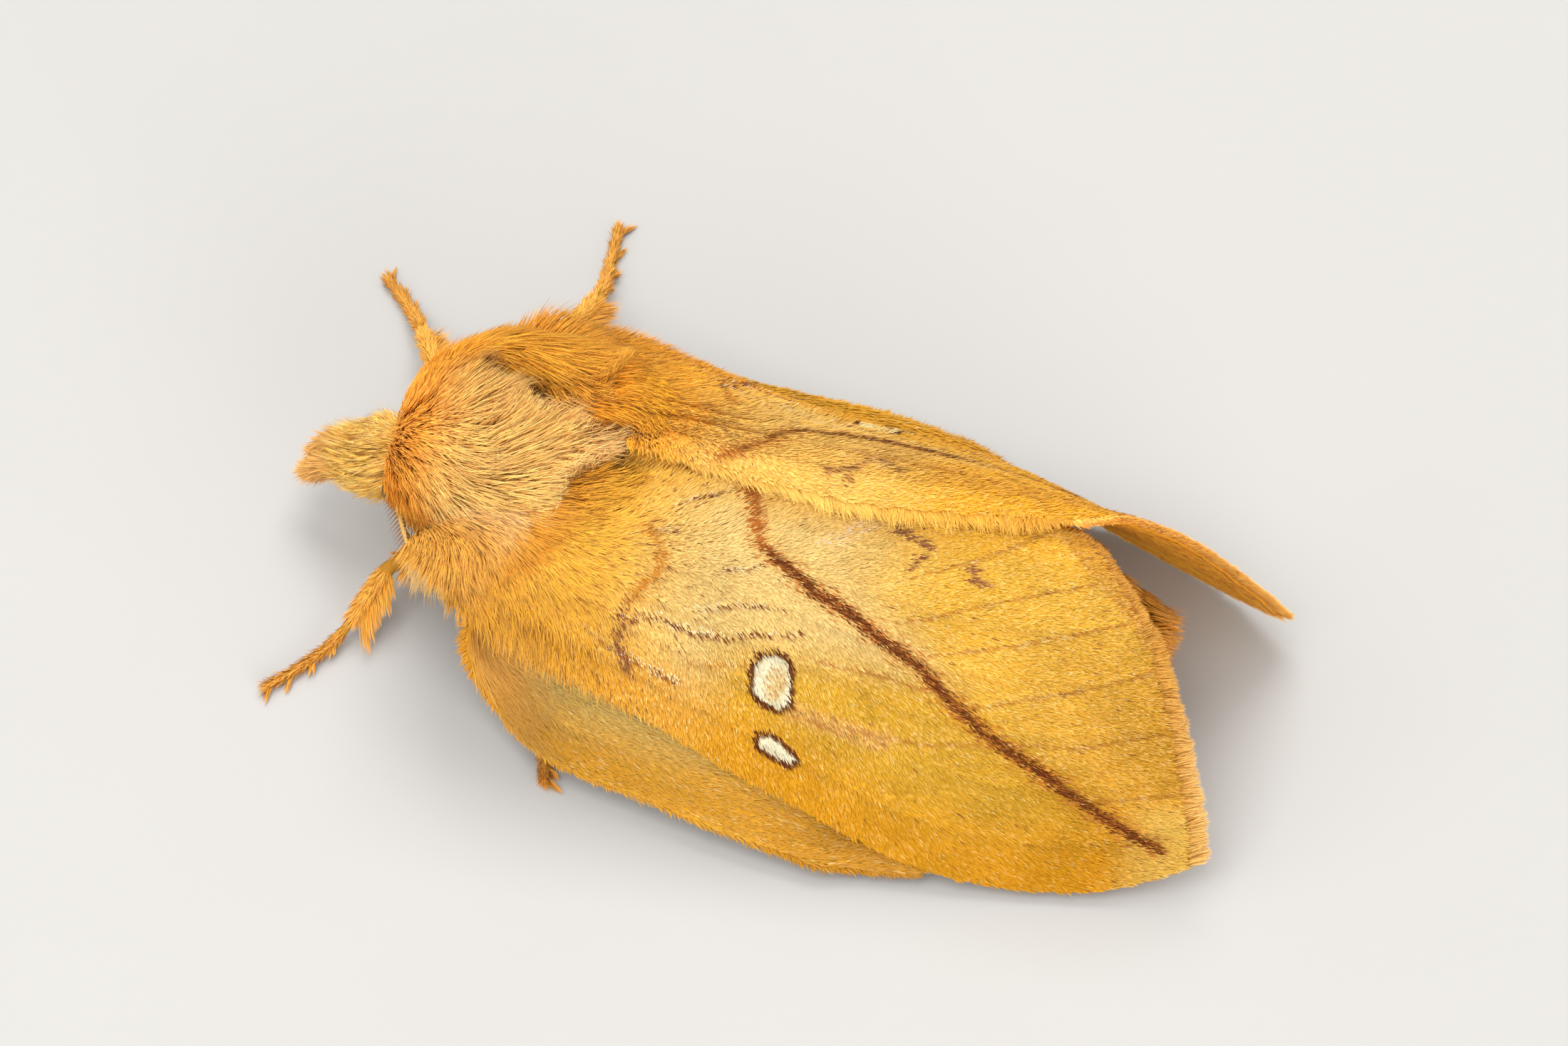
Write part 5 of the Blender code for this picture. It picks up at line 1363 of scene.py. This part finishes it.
def buildAbdomen():
    chance = np.random.default_rng(101)
    core = body["abdomen"]
    coat = [(a, b + 0.3, c - 0.35, d + 0.3) for a, b, c, d in core] + [(26.6, 0.8, 6.3, 7.9)]
    pieces = []
    for name, key, start, long, least, most, amount, dark, width in (
            ("abdomenFur", "abdomen", 4.2, 19.5, 0.7, 1.2, 0.18, 1, 0.09),
            ("tailTuft", "tail", 22.4, 2.6, 0.6, 1.15, 0.2, 0.75, 0.06)):
        count = hairCounts[key]
        x = start + long * chance.random(count)
        turn = 360 * chance.random(count)
        reach = 1.3 * chance.uniform(least, most, count)
        shade = varied(bodyTone["abdomen"] * dark, amount, chance, count)
        pieces.append(combedFur(furFinish, name, core, coat, x, turn, reach, 0, chance, shade, width))
    # the very end, closed by hair that points straight back
    count = hairCounts["tailEnd"]
    share = np.sqrt(chance.random(count))
    turn = 360 * chance.random(count)
    end, _, low, high = core[-1]
    rim, out = coatPoint(core, np.full(count, end), turn)
    root = mix(np.array((end, 0, (low + high) / 2)), rim, col(share)) - (0.15, 0, 0)
    way = unit((1, 0, 0) + out * col(0.3 * share) + chance.normal(0, 0.12, (count, 3)))
    tip = root + way * col(chance.uniform(0.8, 1.5, count))
    shade = varied(bodyTone["abdomen"] * 0.8, 0.2, chance, count)
    pieces.append(needleTufts(furFinish, "tailEnd", root, tip, out, 0.09, shade,
                              placeOn((root[:, 0] + 10) / 40, turn / 360), shade * 1.15))
    return pieces


legCoat = {"words": ("Femur", "Tibia", "Tarsus"), "tones": ("leg", "leg", "tarsus"),
           "hairs": (1100, 1500, 1150), "length": (0.45, 0.5, 0.34), "fringe": (450, 850, 200),
           "fringeLength": 1.35, "shares": (0.8, 1, 0.34), "locks": 13}


def buildLegs():
    pieces = []
    locks = legCoat["locks"]
    for name, paths in legPaths.items():
        side = -1 if name.endswith("left") else 1
        for number, (path, radii) in enumerate(zip(paths, legRadii)):
            chance = np.random.default_rng(len(name) * 13 + number + 3 * side + 200)
            # short down all round
            count = legCoat["hairs"][number]
            t = chance.random(count)
            turn = 2 * math.pi * chance.random(count)
            spot, way, out = aroundLimb(path, t, turn)
            root = spot + out * col(radiusAt(radii, t) * 0.85)
            length = legCoat["length"][number] * chance.uniform(0.6, 1.25, count)
            fan = chance.normal(0, 0.12, (count, 3))
            tip = root + (way + fan) * col(length) + out * col(0.04 + 0.2 * chance.random(count))
            # longer hair hangs behind
            more = legCoat["fringe"][number]
            late = chance.uniform(0.03, 0.95, more)
            if number == 2:
                # small tufts at the joints
                late = (np.floor(late * 4) + 0.75 + 0.25 * chance.random(more)) / 4
            luck = chance.random(locks + 1)[(late * locks).astype(int)]
            gathered = 0.65 * ((np.floor(late * locks) + 0.5) / locks - late) * chain(path)[2][-1]
            spotMore, wayMore, _, _ = limbFrames(path, late)
            aim = unit((1, 0.15 * side, -0.35) + chance.normal(0, 0.3, (more, 3)))
            aim = unit(aim - wayMore * col((aim * wayMore).sum(-1)))
            reach = legCoat["fringeLength"] * chance.uniform(0.4, 1, more)
            reach = reach * (legCoat["shares"][number] + 0.2 * late) * (0.75 + 0.5 * luck) * 0.7
            rootMore = spotMore + aim * 0.2
            tipMore = rootMore + aim * col(reach) + wayMore * col(reach + gathered)
            root, tip, out = map(np.concatenate,
                                 ((root, rootMore), (tip, tipMore), (out, np.cross(aim, wayMore))))
            root[:, 2] = np.maximum(root[:, 2], 0.06)
            tip[:, 2] = np.maximum(tip[:, 2], 0.08)
            shade = varied(bodyTone[legCoat["tones"][number]], 0.3, chance, len(root))
            place = placeOn(np.concatenate([t, late]), np.concatenate([turn / 6.3, chance.random(more)]))
            pieces.append(needleTufts(shortFinish, f"leg{legCoat['words'][number]}_{name}", root, tip, out,
                                      0.044 * chance.uniform(0.8, 1.2, len(root)), shade, place,
                                      mix(shade, bodyTone["pale"], 0.15)))
    return pieces


feeler = {"path": ((-6.45, -0.8, 6.1), (-6.2, -1.5, 6.65), (-5.75, -2.3, 6.45), (-5.1, -3.35, 5.95),
                   (-4.2, -4.45, 5.4), (-2.9, -5.2, 5), (-1.6, -5.7, 4.7), (-0.2, -6, 4.4)),
          "drop": 0.5, "radius": 0.14, "teeth": 46, "tooth": 0.85, "toothTone": (0.36, 0.16, 0.05)}


def buildFeelers():
    pieces = []
    finish = coatFinish("feelerScales", fluffy, 0.9, 0.12, 0.3)
    radius = feeler["radius"]
    for side, word in bothSides:
        chance = np.random.default_rng(121 + side)
        path = np.array(feeler["path"]) * (1, -side, 1)
        path[:, 2] -= feeler["drop"] * np.linspace(0, 1, len(path)) ** 2 * (side > 0)
        points, faces = limbTube(path, (radius * 1.3, radius, radius * 0.6), columns=12, rows=90)
        shade = layers(np.array((0.8, 0.58, 0.28)), (bodyTone["near"] * 0.85, ramp(points[:, 0], -5.9, -5.1)))
        pieces.append(solidMesh("feelerShaft" + word, membraneFinish, points, faces, True, shade))
        # comb teeth in two rows
        count = feeler["teeth"]
        t = np.repeat(mix(0.18, 0.98, (np.arange(count) + 0.5) / count), 2)
        row = np.tile((-1, 1), count)
        spot, way, _, _ = limbFrames(path, t)
        away = np.array((0, side, 0))
        away = unit(away - way * col(way @ away))
        lean = unit(away * 0.45 - np.cross(way, away) * side * col(row * 0.85) + way * 0.35)
        length = feeler["tooth"] * (1 - 0.4 * t) * chance.uniform(0.9, 1.08, 2 * count)
        tip = spot + lean * col(length) + way * 0.12
        shade = varied(feeler["toothTone"], 0.12, chance, 2 * count)
        pieces.append(hairTufts(finish, "feelerComb" + word, spot, spot + lean * col(length * 0.5), tip,
                                way, 0.1, shade, placeOn(t, 0.5 + row * 0.2), rings=4))
        # scales along the shaft
        count = hairCounts["feeler"]
        t = chance.random(count)
        turn = 2 * math.pi * chance.random(count)
        spot, way, out = aroundLimb(path, t, turn)
        root = spot + out * (radius * 0.8)
        shade = layers(np.array((0.84, 0.62, 0.32)), (bodyTone["near"], ramp(root[:, 0], -5.9, -5.1)))
        pieces.append(needleTufts(finish, "feelerScale" + word, root, root + way * 0.32 + out * 0.07, out,
                                  0.07, varied(shade, 0.14, chance), placeOn(t, turn / 6.3)))
    return pieces


def eyeFinish():  # eyes stay as the solids have them, with a faceted gloss
    made, where, feed = newFinish("eyeFacets", {"IOR": 1.5, "Coat Roughness": 0.12})
    cells = where.add("ShaderNodeTexVoronoi", {"feature": "DISTANCE_TO_EDGE"},
                      {"Vector": where, "Scale": 16000.0})
    cloud = where.noise(2500.0, 2.0)
    stops = ((0.2, (0.012, 0.007, 0.004)), (0.8, (0.05, 0.026, 0.012)))
    tint = where.add("ShaderNodeValToRGB", {"stops": stops}, {"Fac": cloud})
    feed(tint, 0.22 + 0.2 * cloud, cells, 0.6, 0.00002)
    return made


def build():
    leftPatch, foreLeft = buildForewing(-1, "Left")
    rightPatch, foreRight = buildForewing(1, "Right")
    shoulders = buildShoulder(-1, "Left", leftPatch) + buildShoulder(1, "Right", rightPatch)
    print("forewings made")
    hindLeft, hindRight = (buildHindwing(side, word) for side, word in bothSides)
    print("hindwings made")
    skin = buildBodySkin()
    coats = {"thorax": buildThorax(), "head": buildHead(), "palps": buildPalps(), "abdomen": buildAbdomen()}
    legs = buildLegs()
    feelers = buildFeelers()
    print("body coat made")
    for slot, pieces in (("forewings", foreLeft), ("forewings", foreRight), ("hindwings", hindLeft),
                         ("hindwings", hindRight), ("legs", legs), ("feelers", feelers),
                         ("thorax", shoulders), *coats.items()):
        for piece in pieces:
            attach(piece, "root")
    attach(skin, "root")
    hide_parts("forewing_left")
    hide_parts("forewing_right")
    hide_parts("hindwing_left")
    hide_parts("hindwing_right")
    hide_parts("antenna_left")
    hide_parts("antenna_right")
    legNodes = [f"leg_{name}_{part}" for name in legPaths for part in ("femur", "tibia", "tarsus")]
    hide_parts("head", "thorax", "abdomen", "palp_left", "palp_right", *legNodes)
    facets = eyeFinish()
    for name in ("eye_left", "eye_right"):
        materials = frame["nodes"][name].data.materials
        materials.clear()
        materials.append(facets)
    shown = (item for item in bpy.data.objects if item.type == "MESH" and "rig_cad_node" not in item)
    print("triangles in the coat and skins:", sum(len(item.data.polygons) for item in shown))


# floor, light and camera

studio = {
    "azimuth": 18.5, "elevation": 57.3, "target": (12.0, 0.0, 5.4), "pixel": (1171, 803.6), "distance": 260,
    "lens": 150, "sensor": 36, "photo": (2200, 1467), "floor": (0.42, 0.41, 0.395), "floorHalf": 2,
    "world": 0.55,
    # azimuth, elevation, distance, width and power
    "lamps": {"key": (-12, 68, 0.45, 0.3, 1.6), "side": (-55, 36, 0.5, 0.35, 0.5),
              "front": (40, 14, 0.5, 0.35, 1.35),
              "fill": (62, 10, 0.5, 0.4, 1.2), "rim": (190, 66, 0.5, 0.3, 1.8)},
}


def place(name, data):
    made = bpy.data.objects.new(name, data)
    bpy.context.scene.collection.objects.link(made)
    return made


def aimed(made, target, azimuth, elevation, distance):
    a, e = math.radians(azimuth), math.radians(elevation)
    back = Vector((math.sin(a) * math.cos(e), -math.cos(a) * math.cos(e), math.sin(e)))
    made.location = target + back * distance
    made.rotation_euler = back.to_track_quat("Z", "Y").to_euler()


def buildStage():
    size = studio["floorHalf"]
    mesh = bpy.data.meshes.new("floor")
    mesh.from_pydata([(-size, -size, 0), (size, -size, 0), (size, size, 0), (-size, size, 0)], [],
                     [(0, 1, 2, 3)])
    made, where, feed = newFinish("floorPaper", {"Roughness": 0.9, "Specular IOR Level": 0.2})
    stops = ((0.3, [c * 0.985 for c in studio["floor"]]), (0.7, studio["floor"]))
    feed(where.add("ShaderNodeValToRGB", {"stops": stops}, {"Fac": where.noise(60.0, 4.0)}), 0.9)
    mesh.materials.append(made)
    floor = place("floor", mesh)
    target = Vector(mothOrigin) + Vector(studio["target"]) * 0.001
    data = bpy.data.cameras.new("camera")
    data.lens = studio["lens"]
    data.sensor_width = studio["sensor"]
    data.clip_start = 0.01
    wide, high = studio["photo"]
    data.shift_x = (wide / 2 - studio["pixel"][0]) / wide
    data.shift_y = (studio["pixel"][1] - high / 2) / wide
    camera = place("camera", data)
    aimed(camera, target, studio["azimuth"], studio["elevation"], studio["distance"] * 0.001)
    bpy.context.scene.camera = camera
    for name, (azimuth, elevation, distance, width, power) in studio["lamps"].items():
        light = bpy.data.lights.new(name, "AREA")
        light.energy = power
        light.size = width
        aimed(place(name, light), target, azimuth, elevation, distance)
    world = bpy.data.worlds.new("studio")
    world.use_nodes = True
    background = world.node_tree.nodes["Background"].inputs
    background["Color"].default_value = (1.0, 0.99, 0.97, 1.0)
    background["Strength"].default_value = studio["world"]
    bpy.context.scene.world = world
    bpy.context.scene.view_settings.view_transform = "Standard"


build()
buildStage()
